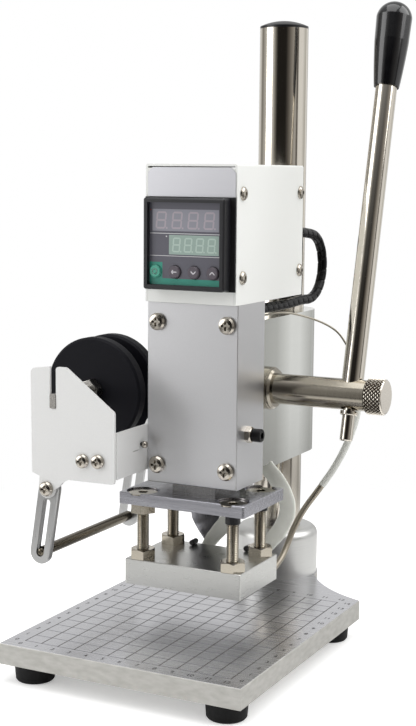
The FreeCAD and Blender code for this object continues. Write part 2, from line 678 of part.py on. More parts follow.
def sleeve_right():
    x, y = HEATER_X[1], BLOCK[1] + 3
    points = [(17.8, 45.6, REAR_LOW + 2.6), (18.6, 45.6, REAR_LOW - 1.0), (23.4, 45.2, 72.0),
              (29.2, 43.6, 65.6),
              (33.0, 42.4, 58.6), (33.6, 41.4, 51.6), (31.2, 39.4, 44.8), (27.6, 37.0, 38.6),
              (23.2, 34.4, 33.0),
              (19.4, 31.6, 28.6), (x, y + 1.6, HEATER_Z + 0.4), (x, y, HEATER_Z)]
    return ribbon(points, [8.0, 9.2, 9.4, 9.6, 9.8, 9.8, 9.6, 9.4, 9.0, 8.0, 7.0, 6.0], 2.6, V(0, -1, 0))


def sleeve_left():
    x, y = HEATER_X[0], BLOCK[1] + 3
    points = [(8.4, 34.0, REAR_LOW), (8.0, 34.1, 72.0), (7.3, 34.1, 65.0), (5.6, 33.9, 57.5),
              (2.8, 33.4, 50.5),
              (-1.3, 32.7, 44.5), (-6.2, 31.9, 38.6), (-10.8, 30.6, 32.4), (x, y + 1.8, HEATER_Z + 0.9),
              (x, y, HEATER_Z)]
    return ribbon(points, [9.0, 9.0, 9.2, 9.4, 9.4, 9.4, 9.0, 8.0, 7.0, 6.0], 2.4, V(0, -1, 0))


def dark_strap():
    """Dark flat strap that hangs behind the left sleeve, its narrow end caught in the sleeve's bend."""
    points = [(-12.4, 39.5, REAR_LOW), (-13.8, 39.4, 70.0), (-16.0, 39.0, 61.0), (-17.0, 38.6, 52.0),
              (-16.6, 37.6, 45.0), (-15.0, 35.6, 39.0), (-13.2, 32.3, 33.4)]
    return ribbon(points, [16.0, 17.5, 20.5, 21.5, 18.0, 11.0, 3.0], 1.6)


def probe_wire():
    """Bare end of the thermocouple lead, from beside the bundle to its sleeve."""
    points = [(WIRE_X, HEAD_MID - 2, WIRE_LOW), (WIRE_X + 0.3, 38.0, WIRE_LOW + 0.1), (23.8, 55.0, 166.0),
              (32.0, 67.5, 162.6), (41.6, 75.0, 158.2), (49.8, 78.8, 151.9), SLEEVE_START]
    return tube(points, 0.6, "probe_wire")


def probe_lead():
    """Sleeved and braided lead: a wide bow past the column and down into the block."""
    points = [SLEEVE_START, (58.8, 79.2, 135.0), (62.2, 78.0, 121.0), (61.8, 75.2, 105.6), (58.0, 71.2, 90.4),
              (51.4, 67.4, 75.4), (43.4, 63.6, 62.6), (36.2, 59.0, 51.2), (32.4, 53.6, 41.0),
              (31.0, 47.6, 31.6), (30.6, 39.6, 24.8), (PROBE_X, BLOCK[1] + 6.6, PROBE_Z + 0.15)]
    return tube(points, 2.0, "probe_lead")


# Control box: folded cover over a chassis, with the controller in its front
def box_cover():
    x, y0, y1 = BOX_HALF_X, BOX_FRONT, BOX_BACK
    outer = box(-x, x, y0, y1, BOX_LOW, BOX_TOP)
    outer = outer.makeFillet(1.2, [e for e in outer.Edges
                                   if e.BoundBox.ZMin > BOX_TOP - 1e-6 and e.BoundBox.YLength > 1])
    shell = outer.cut(box(-x + SHEET, x - SHEET, y0 - 1, y1 + 1, BOX_LOW - 1, BOX_TOP - SHEET))
    return shell.cut([cyl(1.7, (-x - 1, y, z), (x + 1, y, z)) for y, z in box_screw_centres()])


def box_screw_centres():
    return [(y, z) for y in (-8.6, 67.0) for z in (189.3, 233.5)]


def box_screw(side, y, z):
    body = turned([(0, -4), (1.45, -4), (1.45, 0), (3.7, 0), (3.5, 0.9), (2.6, 1.6), (1.3, 1.95), (0, 2.05)])
    return placed(body.cut(hexagon(2.0, 3, (0, 0, 0.7))), (side * BOX_HALF_X, y, z), V(side, 0, 0))


def box_chassis():
    x, top = BOX_HALF_X - SHEET - 0.15, BOX_TOP - SHEET - 0.9
    outer = box(-x, x, BOX_FRONT, BOX_BACK - 0.4, BOX_LOW, top)
    wall = SHEET
    body = outer.cut(box(-x - 1, x + 1, BOX_FRONT + wall, BOX_BACK - 0.4 - wall, BOX_LOW + wall, top + 1))
    flanges = []
    for side in (-1, 1):
        for y, z in box_screw_centres():
            y0 = BOX_FRONT + wall if y < 0 else BOX_BACK - 0.4 - wall - 11
            flanges.append(box(*sorted((side * x, side * (x - 1.5))), y0, y0 + 11, z - 6, z + 6))
    body = join([body] + flanges)
    cuts = [cyl(1.5, (-x - 2, y, z), (x + 2, y, z)) for y, z in box_screw_centres()]
    cuts += [box(-CASE_HALF - 0.3, CASE_HALF + 0.3, BOX_FRONT - 1, BOX_FRONT + wall + 1, BEZEL_Z[0] + 1.6,
                 BEZEL_Z[1] - 1.6),
             cyl(4.52, (WIRE_X, BOX_BACK - 5, GROMMET_Z), (WIRE_X, BOX_BACK + 1, GROMMET_Z)),
             box(-6.3, 6.3, BOX_BACK - 5, BOX_BACK + 1, SWITCH_Z - 9.3, SWITCH_Z + 9.3),
             box(*INLET_X, BOX_BACK - 5, BOX_BACK + 1, INLET_Z - 9.8, INLET_Z + 9.8)]
    return body.cut(cuts)


def box_plate():
    left, right, low, top, corner = 1.55 - BOX_HALF_X, BOX_HALF_X - 0.75, BEZEL_Z[1] + 0.6, BOX_TOP - 1.7, 2.8
    pts = [(left, low), (right, low), (right, top - corner), (right - corner, top), (left + corner, top),
           (left, top - corner)]
    return prism_y(pts, BOX_FRONT - 0.5, BOX_FRONT)


def controller_gasket():
    lo, hi = BEZEL_Z
    outer, inner = BOX_HALF_X - 0.4, CASE_HALF + 0.2
    body = box(-outer, outer, BOX_FRONT - 1.2, BOX_FRONT, lo - 0.4, hi + 0.4)
    return body.cut(box(-inner, inner, BOX_FRONT - 3, BOX_FRONT + 1, lo + 1.7, hi - 1.7))


def controller_body():
    """Square bezel with a raised rim and chamfered edge, and the case behind it."""
    lo, hi = BEZEL_Z
    back = BOX_FRONT - 1.2
    bezel = box(-BEZEL_HALF, BEZEL_HALF, BEZEL_FRONT, back, lo, hi)
    along_y = [e for e in bezel.Edges if e.BoundBox.YLength > 2]
    bezel = bezel.makeFillet(1.4, along_y)
    bezel = bezel.makeChamfer(0.8, [e for e in bezel.Edges if e.BoundBox.YMax < BEZEL_FRONT + 1e-6])
    case = box(-CASE_HALF, CASE_HALF, back - 0.5, 48.0, lo + 1.9, hi - 1.9)
    body = join([bezel, case])
    body = body.cut(box(-DISPLAY_HALF, DISPLAY_HALF, BEZEL_FRONT - 1, WINDOW_Y + 1.0, lo + 2.4, hi - 2.4))
    return body.cut([cyl(KEY_R + 0.25, (x, WINDOW_Y, KEY_Z), (x, WINDOW_Y + 3.2, KEY_Z)) for x in KEY_X])


def controller_window():
    lo, hi = BEZEL_Z
    body = box(-DISPLAY_HALF, DISPLAY_HALF, WINDOW_Y, WINDOW_Y + 1.0, lo + 2.4, hi - 2.4)
    return body.cut([cyl(KEY_R + 0.25, (x, WINDOW_Y - 1, KEY_Z), (x, WINDOW_Y + 2, KEY_Z)) for x in KEY_X])


def key(x):
    proud = 1.4
    body = turned([(0, -2.2), (KEY_R, -2.2), (KEY_R, proud - 0.5), (KEY_R - 0.5, proud), (0, proud)])
    return placed(body, (x, WINDOW_Y, KEY_Z), V(0, -1, 0))


def switch_frame():
    y = BOX_BACK - 0.4
    body = join([box(-7.5, 7.5, y, y + 1.6, SWITCH_Z - 10.5, SWITCH_Z + 10.5),
                 box(-6.1, 6.1, y - 12, y + 0.5, SWITCH_Z - 9.1, SWITCH_Z + 9.1)])
    return body.cut(box(-5.0, 5.0, y - 7, y + 3, SWITCH_Z - 8.0, SWITCH_Z + 8.0))


def rocker():
    """Rocker seen from its side: two flats meeting at the pivot, standing proud at the top."""
    y = BOX_BACK - 0.4
    prof = [(y - 3.2, SWITCH_Z - 6.9), (y + 0.7, SWITCH_Z - 7.3), (y + 1.2, SWITCH_Z),
            (y + 3.0, SWITCH_Z + 7.0),
            (y - 1.5, SWITCH_Z + 7.4), (y - 5.6, SWITCH_Z)]
    return prism_x(prof, -4.7, 4.7)


def mains_inlet():
    y = BOX_BACK - 0.4
    x0, x1 = INLET_X
    flange = rounded(box(x0 - 3.0, x1 + 3.0, y, y + 2.0, INLET_Z - 12, INLET_Z + 12),
                     lambda e: (e.BoundBox.YLength > 1.9 and e.BoundBox.XLength < 0.01
                                and e.BoundBox.ZLength < 0.01), 3.0)
    body = join([flange, box(x0 + 0.2, x1 - 0.2, y - 14, y + 0.5, INLET_Z - 9.6, INLET_Z + 9.6)])
    mid = (x0 + x1) / 2
    well = box(x0 + 1.7, x1 - 1.7, y - 12, y + 3, INLET_Z - 8.0, INLET_Z + 8.0)
    body = body.cut(well)
    pins = [box(mid + dx - 1.0, mid + dx + 1.0, y - 12.5, y - 1.5, INLET_Z + dz - 2.0, INLET_Z + dz + 2.0)
            for dx, dz in ((-7.0, -3.0), (7.0, -3.0), (0.0, 1.0))]
    return join([body] + pins)


def grommet():
    y = BOX_BACK - 0.4
    hole = BUNDLE_R + 0.05
    prof = [(hole, -3.0), (5.2, -3.0), (5.2, -SHEET), (4.5, -SHEET), (4.5, 0), (5.3, 0), (4.9, 1.6),
            (hole, 1.6)]
    return turned(prof, (WIRE_X, y, GROMMET_Z), Y_AXIS)


def cable_bundle():
    """Wrapped bundle: back out of the box, round in one bow and forward into the head."""
    mid_y, mid_z, reach = COL_Y - 2.6, 189.4, 19.9
    bow = [(WIRE_X, mid_y + reach * math.cos(math.radians(a)), mid_z + reach * math.sin(math.radians(a)))
           for a in (68, 30, -8, -46, -84)]
    points = [(WIRE_X, BOX_BACK - 2.0, GROMMET_Z), (WIRE_X, BOX_BACK + 8.0, GROMMET_Z),
              (WIRE_X, 93.0, GROMMET_Z - 1.0)]
    points += bow + [(WIRE_X, 87.5, 170.4), (WIRE_X, 70.0, BUNDLE_Z), (WIRE_X, 53.0, BUNDLE_Z - 0.2),
                     (WIRE_X, 37.0, BUNDLE_Z + 0.1), (WIRE_X, HEAD_MID - 3.0, BUNDLE_Z)]
    return tube(points, BUNDLE_R, "cable_bundle")


# Foil unit: two slotted plates on a bent web, an axle with two discs, a guide rod on two links
def outline_edge(body, x, z, radius):
    """Rounds the front-to-back edge that stands at one corner of the outline."""
    near = [e for e in body.Edges if e.BoundBox.YLength > 1 and abs(e.CenterOfMass.x - x) < 0.05
            and abs(e.CenterOfMass.z - z) < 0.05]
    return body.makeFillet(radius, near) if near else body


def foil_plate(y0, y1):
    left, right = AXLE_X - SLOT_HALF, AXLE_X + SLOT_HALF
    foot = AXLE_Z - 4.0
    tx, tz = LINK_TOP
    outer, far, inner = AXLE_X - 14.2, AXLE_X + 8.5, PLATE_IN_X
    shoulder, low = SLOT_TOP - 22.2, WEB_LOW - 2.9
    main = prism_y([(outer, SLOT_TOP - 1.6), (left, SLOT_TOP), (left, foot), (right, foot), (right, SLOT_TOP),
                    (far, SLOT_TOP), (inner, shoulder), (inner, low + 0.4), (outer + 6.7, low),
                    (outer + 0.4, low + 2.2)],
                   y0, y1)
    for x, z, r in ((outer, SLOT_TOP - 1.6, 3.0), (right, SLOT_TOP, 1.5), (far, SLOT_TOP, 3.0),
                    (inner, shoulder, 2.0),
                    (inner, low + 0.4, 1.8)):
        main = outline_edge(main, x, z, r)
    knee = (tx + 10.8, low - 1.4)
    tab = join([prism_y([(tx - 5.2, tz), (tx - 4.6, low + 1), (tx + 15.6, low + 1), knee,
                         (tx + 7.6, low - 4.6),
                         (tx + 5.2, tz)], y0, y1), cyl(5.2, (tx, y0, tz), (tx, y1, tz))])
    body = join([main, tab])
    body = outline_edge(body, *knee, 5.0)
    holes = [cyl(2.05, (x, y0 - 1, z), (x, y1 + 1, z)) for x, z in plate_screw_centres() + [LINK_TOP]]
    return body.cut(holes)


def plate_screw_centres():
    return [(PLATE_IN_X - 19.6, WEB_LOW + 8.6), (PLATE_IN_X - 10.0, WEB_LOW + 9.2)]


def foil_web():
    """Sheet along the head's left wall, its two ends bent outwards behind the plates."""
    wall, t = -HEAD_HALF_X, FOIL_T
    y0, y1 = FOIL_FRONT_Y + t, FOIL_REAR_Y - t
    out, crown = PLATE_IN_X - 26.0, WEB_TOP + 2.6
    rise = [(y0, WEB_LOW), (y1, WEB_LOW), (y1, WEB_TOP), (21.6, WEB_TOP), (19.0, crown),
            (HEAD_FRONT + 2.3, crown),
            (HEAD_FRONT - 0.3, WEB_TOP), (y0, WEB_TOP)]
    side = prism_x(rise, wall - t, wall)
    front = box(out, wall, y0, y0 + t, WEB_LOW, WEB_TOP - 0.6)
    rear = box(out, wall, y1 - t, y1, WEB_LOW, WEB_TOP - 0.6)
    body = join([side, front, rear])
    cuts = [cyl(1.6, (wall - t - 1, y, z), (wall + 1, y, z)) for y, z in web_screw_centres()]
    cuts += [cyl(2.05, (x, y0 - 1, z), (x, y0 + t + 1, z)) for x, z in plate_screw_centres()]
    cuts += [cyl(2.05, (x, y1 - t - 1, z), (x, y1 + 1, z)) for x, z in plate_screw_centres()]
    cuts.append(box(wall - t - 1, wall + 1, -29.0, -23.0, WEB_LOW + 12.2, WEB_LOW + 12.6))
    return body.cut(cuts)


def web_screw(y, z):
    """Screw with a tall coned head that stands well out of the web."""
    prof = [(0, -8), (1.5, -8), (1.5, 0), (3.0, 0), (3.0, 2.2), (1.9, 4.6), (0, 5.0)]
    return turned(prof, (-HEAD_HALF_X - FOIL_T, y, z), V(-1, 0, 0))


def plate_screws():
    out = []
    for y, way in ((FOIL_FRONT_Y, -1), (FOIL_REAR_Y, 1)):
        for x, z in plate_screw_centres():
            out.append(pan_screw(3.85, 2.6, 1.95, 6.4, (x, y, z), V(0, way, 0)))
            out.append(hexagon(7.0, 2.4, (x, y - way * 2 * FOIL_T, z), bore=2.0, axis=V(0, -way, 0)))
    return out


def pivot_screws():
    """Link pivots: screw through plate and link with a lock nut behind the link."""
    out = []
    x, z = LINK_TOP
    for y, way in ((FOIL_FRONT_Y, -1), (FOIL_REAR_Y, 1)):
        out.append(pan_screw(4.1, 2.7, 1.95, 8.2, (x, y, z), V(0, way, 0)))
        out.append(hexagon(7.0, 3.0, (x, y - way * (FOIL_T + 3.1), z), bore=2.0, axis=V(0, -way, 0)))
    return out


def foil_axle():
    y0, y1 = FOIL_FRONT_Y - 0.4, FOIL_REAR_Y + 0.4
    inner = (FOIL_FRONT_Y + FOIL_T + 0.4, FOIL_REAR_Y - FOIL_T - 0.4)
    bar = cyl(4.0, (AXLE_X, y0, AXLE_Z), (AXLE_X, y1, AXLE_Z))
    half = SLOT_HALF - 0.1
    flats = []
    for a, b in ((y0 - 1, inner[0]), (inner[1], y1 + 1)):
        flats += [box(AXLE_X - 6, AXLE_X - half, a, b, AXLE_Z - 6, AXLE_Z + 6),
                  box(AXLE_X + half, AXLE_X + 6, a, b, AXLE_Z - 6, AXLE_Z + 6)]
    return bar.cut(flats)


def axle_nuts():
    lo, hi = DISC_FRONT_Y[0] - 0.2, DISC_FRONT_Y[1] + DISC_T + 0.2
    mid = ((DISC_FRONT_Y[0] + DISC_T) + DISC_FRONT_Y[1]) / 2
    front = hexagon(13.0, 6.5, (AXLE_X, lo, AXLE_Z), bore=4.0, axis=V(0, -1, 0), turn=20)
    rear = hexagon(13.0, 6.5, (AXLE_X, hi, AXLE_Z), bore=4.0, axis=Y_AXIS, turn=20)
    half = (DISC_FRONT_Y[1] - DISC_FRONT_Y[0] - DISC_T) / 2 - 0.2
    core = cyl(6.5, (AXLE_X, mid - half, AXLE_Z), (AXLE_X, mid + half, AXLE_Z))
    return [front, rear, core.cut(cyl(4.0, (AXLE_X, mid - 20, AXLE_Z), (AXLE_X, mid + 20, AXLE_Z)))]


def foil_disc(y):
    r, bore, t = DISC_R, 4.0 + SWIVEL_GAP, DISC_T
    prof = [(bore, 0), (r - 1.2, 0), (r, 1.2), (r, t - 1.2), (r - 1.2, t), (bore, t)]
    return turned(prof, (AXLE_X, y, AXLE_Z), Y_AXIS)


def link_dir():
    a = math.radians(LINK_TILT)
    return V(-math.sin(a), 0, -math.cos(a))


def on_link(t, y):
    d = link_dir()
    return (LINK_TOP[0] + d.x * t, y, LINK_TOP[1] + d.z * t)


def bar_along(width, t0, t1, y0, y1):
    """Round-ended bar along the link, from one end's centre to the other's."""
    core = box(-width / 2, width / 2, y0, y1, -t1, -t0)
    core = core.fuse([cyl(width / 2, (0, y0, -t0), (0, y1, -t0)), cyl(width / 2, (0, y0, -t1), (0, y1, -t1))])
    core = core.removeSplitter()
    core.rotate(V(0, 0, 0), Y_AXIS, LINK_TILT)
    core.translate(V(LINK_TOP[0], 0, LINK_TOP[1]))
    return core


def link(y_face, way):
    """Slotted link; its recess faces away from the rod."""
    t = 2.8
    lo, hi = sorted((y_face, y_face - way * t))
    body = bar_along(LINK_W, 0.0, LINK_SPAN, lo, hi)
    rim = [e for e in body.Edges if abs(e.BoundBox.YMin - y_face) < 1e-6 and e.BoundBox.YLength < 1e-6]
    body = body.makeChamfer(0.5, rim)
    recess = sorted((y_face + way, y_face - way * 1.3))
    return body.cut([bar_along(4.8, 8.5, LINK_SPAN, *recess), bar_along(3.2, 8.5, LINK_SPAN, lo - 1, hi + 1),
                     cyl(2.05, on_link(0, lo - 1), on_link(0, hi + 1))])


def rod_ends():
    gap = FOIL_T + 0.2 + 2.8
    return FOIL_FRONT_Y + gap + 0.05, FOIL_REAR_Y - gap - 0.05


def guide_rod():
    y0, y1 = rod_ends()
    body = cyl(ROD_R, on_link(LINK_SPAN, y0), on_link(LINK_SPAN, y1))
    return body.cut([cyl(1.25, on_link(LINK_SPAN, y0 - 1), on_link(LINK_SPAN, y0 + 7)),
                     cyl(1.25, on_link(LINK_SPAN, y1 - 7), on_link(LINK_SPAN, y1 + 1))])


def rod_screws():
    y0, y1 = rod_ends()
    out = []
    for y, way in ((y0, -1), (y1, 1)):
        floor = y + way * (0.05 + 1.5 + 0.02)
        out.append(pan_screw(2.2, 1.1, 1.2, 7.0, on_link(LINK_SPAN, floor), V(0, way, 0)))
    return out


def build():
    save("base_plate", base_plate())
    save("rubber_feet", [rubber_foot(x, y) for x, y in foot_centres()])
    save("feet_screws", [foot_screw(x, y) for x, y in foot_centres()])
    save("collar", collar())
    save("collar_screws", [collar_screw(x, y) for x, y in collar_screw_centres()] + [collar_set_screw()])
    save("column", column())
    save("column_cap", column_cap())
    save("head_body", head_body())
    save("cover_plate", cover_plate())
    save("cover_screws", [cover_screw(x, z) for x, z in cover_screw_centres()])
    save("clamp_pads", [clamp_pad(z) for z in clamp_heights()])
    save("clamp_screws", [clamp_screw(z) for z in clamp_heights()])
    save("ram", ram())
    save("pinion_shaft", pinion_shaft())
    save("bearing_bush", bearing_bush())
    save("bearing_cap", bearing_cap())
    save("cap_screws", [cap_screw(y, z) for y, z in cap_screw_centres()])
    save("lever_rod", lever_rod())
    save("lever_nut", lever_nut())
    save("lever_grip", lever_grip())
    save("shaft_knob", shaft_knob())
    save("brake_screw", brake_screw())
    save("brake_lock_nut", brake_lock_nut())
    save("top_plate", top_plate())
    save("ram_screws", [ram_screw(x, y) for x, y in ram_screw_centres()])
    save("plate_bolts", [plate_bolt(x, y) for x, y in bolt_centres()])
    save("upper_nuts", [upper_nut(x, y) for x, y in bolt_centres()])
    save("lower_nuts", [hexagon(NUT_AF, NUT_T, (x, y, BLOCK[3]), bore=BOLT_R + THREAD_GAP)
                        for x, y in bolt_centres()])
    save("heated_block", heated_block())
    save("heaters", [heater(x) for x in HEATER_X])
    save("probe", probe())
    save("sleeve_right", sleeve_right())
    save("sleeve_left", sleeve_left())
    save("dark_strap", dark_strap())
    save("probe_wire", probe_wire())
    save("probe_lead", probe_lead())
    save("box_cover", box_cover())
    save("box_chassis", box_chassis())
    save("box_screws", [box_screw(s, y, z) for s in (-1, 1) for y, z in box_screw_centres()])
    save("box_plate", box_plate())
    save("controller_gasket", controller_gasket())
    save("controller_body", controller_body())
    save("controller_window", controller_window())
    for name, x in zip(("key_set", "key_shift", "key_down", "key_up"), KEY_X):
        save(name, key(x))
    save("switch_frame", switch_frame())
    save("rocker", rocker())
    save("mains_inlet", mains_inlet())
    save("grommet", grommet())
    save("cable_bundle", cable_bundle())
    save("foil_plates", [foil_plate(FOIL_FRONT_Y, FOIL_FRONT_Y + FOIL_T),
                         foil_plate(FOIL_REAR_Y - FOIL_T, FOIL_REAR_Y)])
    save("foil_web", foil_web())
    save("foil_screws", plate_screws() + pivot_screws() + [web_screw(y, z) for y, z in web_screw_centres()])
    save("foil_axle", [foil_axle()] + axle_nuts())
    save("disc_front", foil_disc(DISC_FRONT_Y[0]))
    save("disc_rear", foil_disc(DISC_FRONT_Y[1]))
    save("links", [link(FOIL_FRONT_Y + FOIL_T + 0.2, -1), link(FOIL_REAR_Y - FOIL_T - 0.2, 1)])
    save("guide_rod", [guide_rod()] + rod_screws())


build()
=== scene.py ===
import math

import bpy
import numpy as np
from mathutils import Matrix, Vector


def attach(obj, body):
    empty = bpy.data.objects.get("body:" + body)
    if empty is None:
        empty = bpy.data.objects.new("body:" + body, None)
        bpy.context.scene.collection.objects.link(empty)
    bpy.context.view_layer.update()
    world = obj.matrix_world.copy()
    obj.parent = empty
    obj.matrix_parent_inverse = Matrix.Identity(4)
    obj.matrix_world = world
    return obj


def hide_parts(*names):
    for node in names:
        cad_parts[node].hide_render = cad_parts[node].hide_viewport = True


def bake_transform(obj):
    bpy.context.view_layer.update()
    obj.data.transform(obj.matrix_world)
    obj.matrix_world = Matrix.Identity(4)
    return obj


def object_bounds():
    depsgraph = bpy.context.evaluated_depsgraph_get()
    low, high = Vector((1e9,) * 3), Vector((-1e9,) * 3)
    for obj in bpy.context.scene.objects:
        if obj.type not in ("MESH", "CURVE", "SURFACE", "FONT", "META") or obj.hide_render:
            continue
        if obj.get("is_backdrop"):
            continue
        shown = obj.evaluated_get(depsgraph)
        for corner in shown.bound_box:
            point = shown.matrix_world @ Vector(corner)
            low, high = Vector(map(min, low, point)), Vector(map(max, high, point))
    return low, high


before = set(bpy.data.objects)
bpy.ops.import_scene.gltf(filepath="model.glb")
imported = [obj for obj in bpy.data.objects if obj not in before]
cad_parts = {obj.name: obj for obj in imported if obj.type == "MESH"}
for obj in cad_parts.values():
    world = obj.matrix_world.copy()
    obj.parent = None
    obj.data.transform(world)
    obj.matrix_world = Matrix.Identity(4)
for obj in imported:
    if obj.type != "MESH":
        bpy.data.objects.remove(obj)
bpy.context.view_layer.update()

# STUDIO
# White sweep with a pale floor, a large soft lamp on each side and one above, dark only behind the
# camera, so that bright metal shows one dark band as it does in a tent of white cloth.
CAMERA_AT = (0.34414, -0.67481, 0.24348)
CAMERA_RIGHT = (0.89225, 0.45147, 0.00881)
CAMERA_UP = (-0.06818, 0.11540, 0.99098)
CAMERA_BACK = (0.44637, -0.88479, 0.13375)
MIDDLE = (0.0, 0.02, 0.0)
FLOOR_Z = -0.0211
FLOOR_REACH = 4.0


def in_scene(name, data):
    """Object around a mesh, curve, camera or lamp, linked into the scene."""
    made = bpy.data.objects.new(name, data)
    bpy.context.scene.collection.objects.link(made)
    return made


def stance(right, up, back, at):
    """Matrix that puts an object at a point, with its own X, Y and Z along three directions."""
    return Matrix([*zip(right, up, back, at), (0, 0, 0, 1)])


def lamp(name, at, aim, size, watts):
    """Soft lamp of a width and a height at a point, turned so that it shines at another point."""
    light = in_scene(name, bpy.data.lights.new(name, "AREA"))
    light.data.shape = "RECTANGLE"
    light.data.size, light.data.size_y = size
    light.data.energy = watts
    back = np.subtract(at, aim)
    back /= np.linalg.norm(back)
    right = np.cross((0, 0, 1), back)
    right /= np.linalg.norm(right)
    light.matrix_world = stance(right, np.cross(back, right), back, at)


def flat_piece(name, points, faces):
    """Piece straight from its points and faces."""
    mesh = bpy.data.meshes.new(name)
    mesh.from_pydata(points, [], faces)
    return in_scene(name, mesh)


def ink(code):
    """Linear colour of an sRGB hex code: the low end is divided by 12.92, the rest raised to 2.4."""
    share = np.array([int(code[i:i + 2], 16) for i in (1, 3, 5)]) / 255
    linear = np.where(share <= 0.04045, share / 12.92, ((share + 0.055) / 1.055) ** 2.4)
    return (*linear.tolist(), 1.0)


def put(tree, kind, feeds=None, **settings):
    """Adds one node with its settings; a feed is a number, a colour or another node's output."""
    node = tree.nodes.new(kind)
    for key, value in settings.items():
        setattr(node, key, value)
    for key, value in (feeds or {}).items():
        if isinstance(value, bpy.types.NodeSocket):
            tree.links.new(value, node.inputs[key])
        else:
            node.inputs[key].default_value = value
    return node


def tint(ramp, stops):
    """Gives a colour ramp its stops, each a place from 0 to 1 and a hex code."""
    while len(ramp.elements) < len(stops):
        ramp.elements.new(0.5)
    for element, (position, code) in zip(ramp.elements, stops):
        element.position = position
        element.color = ink(code)


camera = in_scene("camera", bpy.data.cameras.new("camera"))
camera.data.sensor_fit = "HORIZONTAL"
camera.data.sensor_width = 36.0
camera.data.lens = 121.12
camera.data.shift_x = -0.0029
camera.data.clip_start = 0.02
camera.matrix_world = stance(CAMERA_RIGHT, CAMERA_UP, CAMERA_BACK, CAMERA_AT)
bpy.context.scene.camera = camera
bpy.context.scene.view_settings.view_transform = "Standard"

lamp("left_lamp", (-0.86, -0.68, 0.5), (0, 0.02, 0.15), (0.7, 1.0), 5.6)
lamp("right_lamp", (0.85, 0.35, 0.95), (0, 0.02, 0.15), (1.1, 0.9), 8.0)
lamp("top_lamp", (0.0, -0.1, 1.15), (0, 0.02, 0.1), (0.9, 0.9), 5.0)

# Matt white paper, faintly mottled: it takes the soft shadow under the plate. A little light of its own
# keeps it near white, and only the camera and mirrors see that light
corners = ((-1, -1), (1, -1), (1, 1), (-1, 1))
floor = flat_piece("floor", [(x * FLOOR_REACH, y * FLOOR_REACH, FLOOR_Z) for x, y in corners], [(0, 1, 2, 3)])
paper = bpy.data.materials.new("white_paper")
paper.use_nodes = True
tree = paper.node_tree
tree.nodes.clear()
rays = put(tree, "ShaderNodeLightPath")
seen = put(tree, "ShaderNodeMath", {0: rays.outputs["Is Camera Ray"], 1: rays.outputs["Is Glossy Ray"]},
           operation="MAXIMUM")
grain = put(tree, "ShaderNodeTexNoise", {"Scale": 60.0, "Detail": 3.0})
tone = put(tree, "ShaderNodeMix", {"Factor": grain.outputs["Fac"], "A": ink("#F4F4F4"), "B": ink("#F8F8F7")},
           data_type="RGBA")
matt = put(tree, "ShaderNodeBsdfDiffuse", {"Color": tone.outputs["Result"]})
strength = put(tree, "ShaderNodeMapRange", {"Value": rays.outputs["Is Camera Ray"], "To Min": 0.12,
                                            "To Max": 0.36})
glow = put(tree, "ShaderNodeEmission", {"Color": ink("#FFFFFF"), "Strength": strength.outputs[0]})
lit = put(tree, "ShaderNodeAddShader", {0: matt.outputs[0], 1: glow.outputs[0]})
# Away from the machine the paper turns into the white of the backdrop, so that no horizon shows, and in
# reflections into the surroundings below
spot = put(tree, "ShaderNodeTexCoord")
radial = put(tree, "ShaderNodeVectorMath", {0: spot.outputs["Object"], 1: MIDDLE}, operation="DISTANCE")
away = put(tree, "ShaderNodeMapRange", {"Value": radial.outputs["Value"], "From Min": 0.2, "From Max": 0.42},
           interpolation_type="SMOOTHSTEP")
backdrop = put(tree, "ShaderNodeEmission", {"Color": ink("#FFFFFF"), "Strength": 1.0})
clear = put(tree, "ShaderNodeBsdfTransparent")
beyond = put(tree, "ShaderNodeMixShader", {0: rays.outputs["Is Camera Ray"], 1: clear.outputs[0],
                                           2: backdrop.outputs[0]})
swept = put(tree, "ShaderNodeMixShader", {0: away.outputs[0], 1: lit.outputs[0], 2: beyond.outputs[0]})
either = put(tree, "ShaderNodeMixShader", {0: seen.outputs[0], 1: matt.outputs[0], 2: swept.outputs[0]})
put(tree, "ShaderNodeOutputMaterial", {"Surface": either.outputs[0]})
floor.data.materials.append(paper)
floor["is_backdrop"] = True

# Surroundings by bearing from the camera's side: the dark of the studio around the camera, a thin gap
# between two sheets of cloth on the right, grey cloth far left and the white backdrop behind; darker below
world = bpy.context.scene.world or bpy.data.worlds.new("studio")
bpy.context.scene.world = world
world.use_nodes = True
tree = world.node_tree
tree.nodes.clear()
rays = put(tree, "ShaderNodeLightPath")
way = put(tree, "ShaderNodeTexCoord")
rightward = put(tree, "ShaderNodeVectorMath", {0: way.outputs["Generated"], 1: (0.8928, 0.4504, 0.0)},
                operation="DOT_PRODUCT")
nearward = put(tree, "ShaderNodeVectorMath", {0: way.outputs["Generated"], 1: (0.4504, -0.8928, 0.0)},
               operation="DOT_PRODUCT")
split = put(tree, "ShaderNodeSeparateXYZ", {0: way.outputs["Generated"]})
bearing = put(tree, "ShaderNodeMath", {0: rightward.outputs["Value"], 1: nearward.outputs["Value"]},
              operation="ARCTAN2")
turned_share = put(tree, "ShaderNodeMapRange", {"Value": bearing.outputs[0], "From Min": -math.pi,
                                                "From Max": math.pi})
cloth = put(tree, "ShaderNodeValToRGB", {"Fac": turned_share.outputs[0]})
bearings = ((-180, "#FFFFFF"), (-140, "#EDEDEC"), (-122, "#8A8782"), (-104, "#C9C8C5"), (-60, "#FFFFFF"),
            (-44, "#8F8D88"), (-33, "#262422"), (8, "#262422"), (22, "#65615D"), (40, "#A39F9A"),
            (60, "#C5C3C0"), (64, "#5F5B57"), (70, "#5F5B57"), (74, "#FFFFFF"), (100, "#FFFFFF"),
            (120, "#CFCFCC"), (132, "#FFFFFF"), (146, "#FFFFFF"), (156, "#B4B4B1"), (166, "#FFFFFF"),
            (180, "#FFFFFF"))
tint(cloth.color_ramp, [((degrees + 180) / 360, code) for degrees, code in bearings])
raised = put(tree, "ShaderNodeMapRange", {"Value": split.outputs["Z"], "From Min": 0.35, "From Max": 0.8},
             interpolation_type="SMOOTHSTEP")
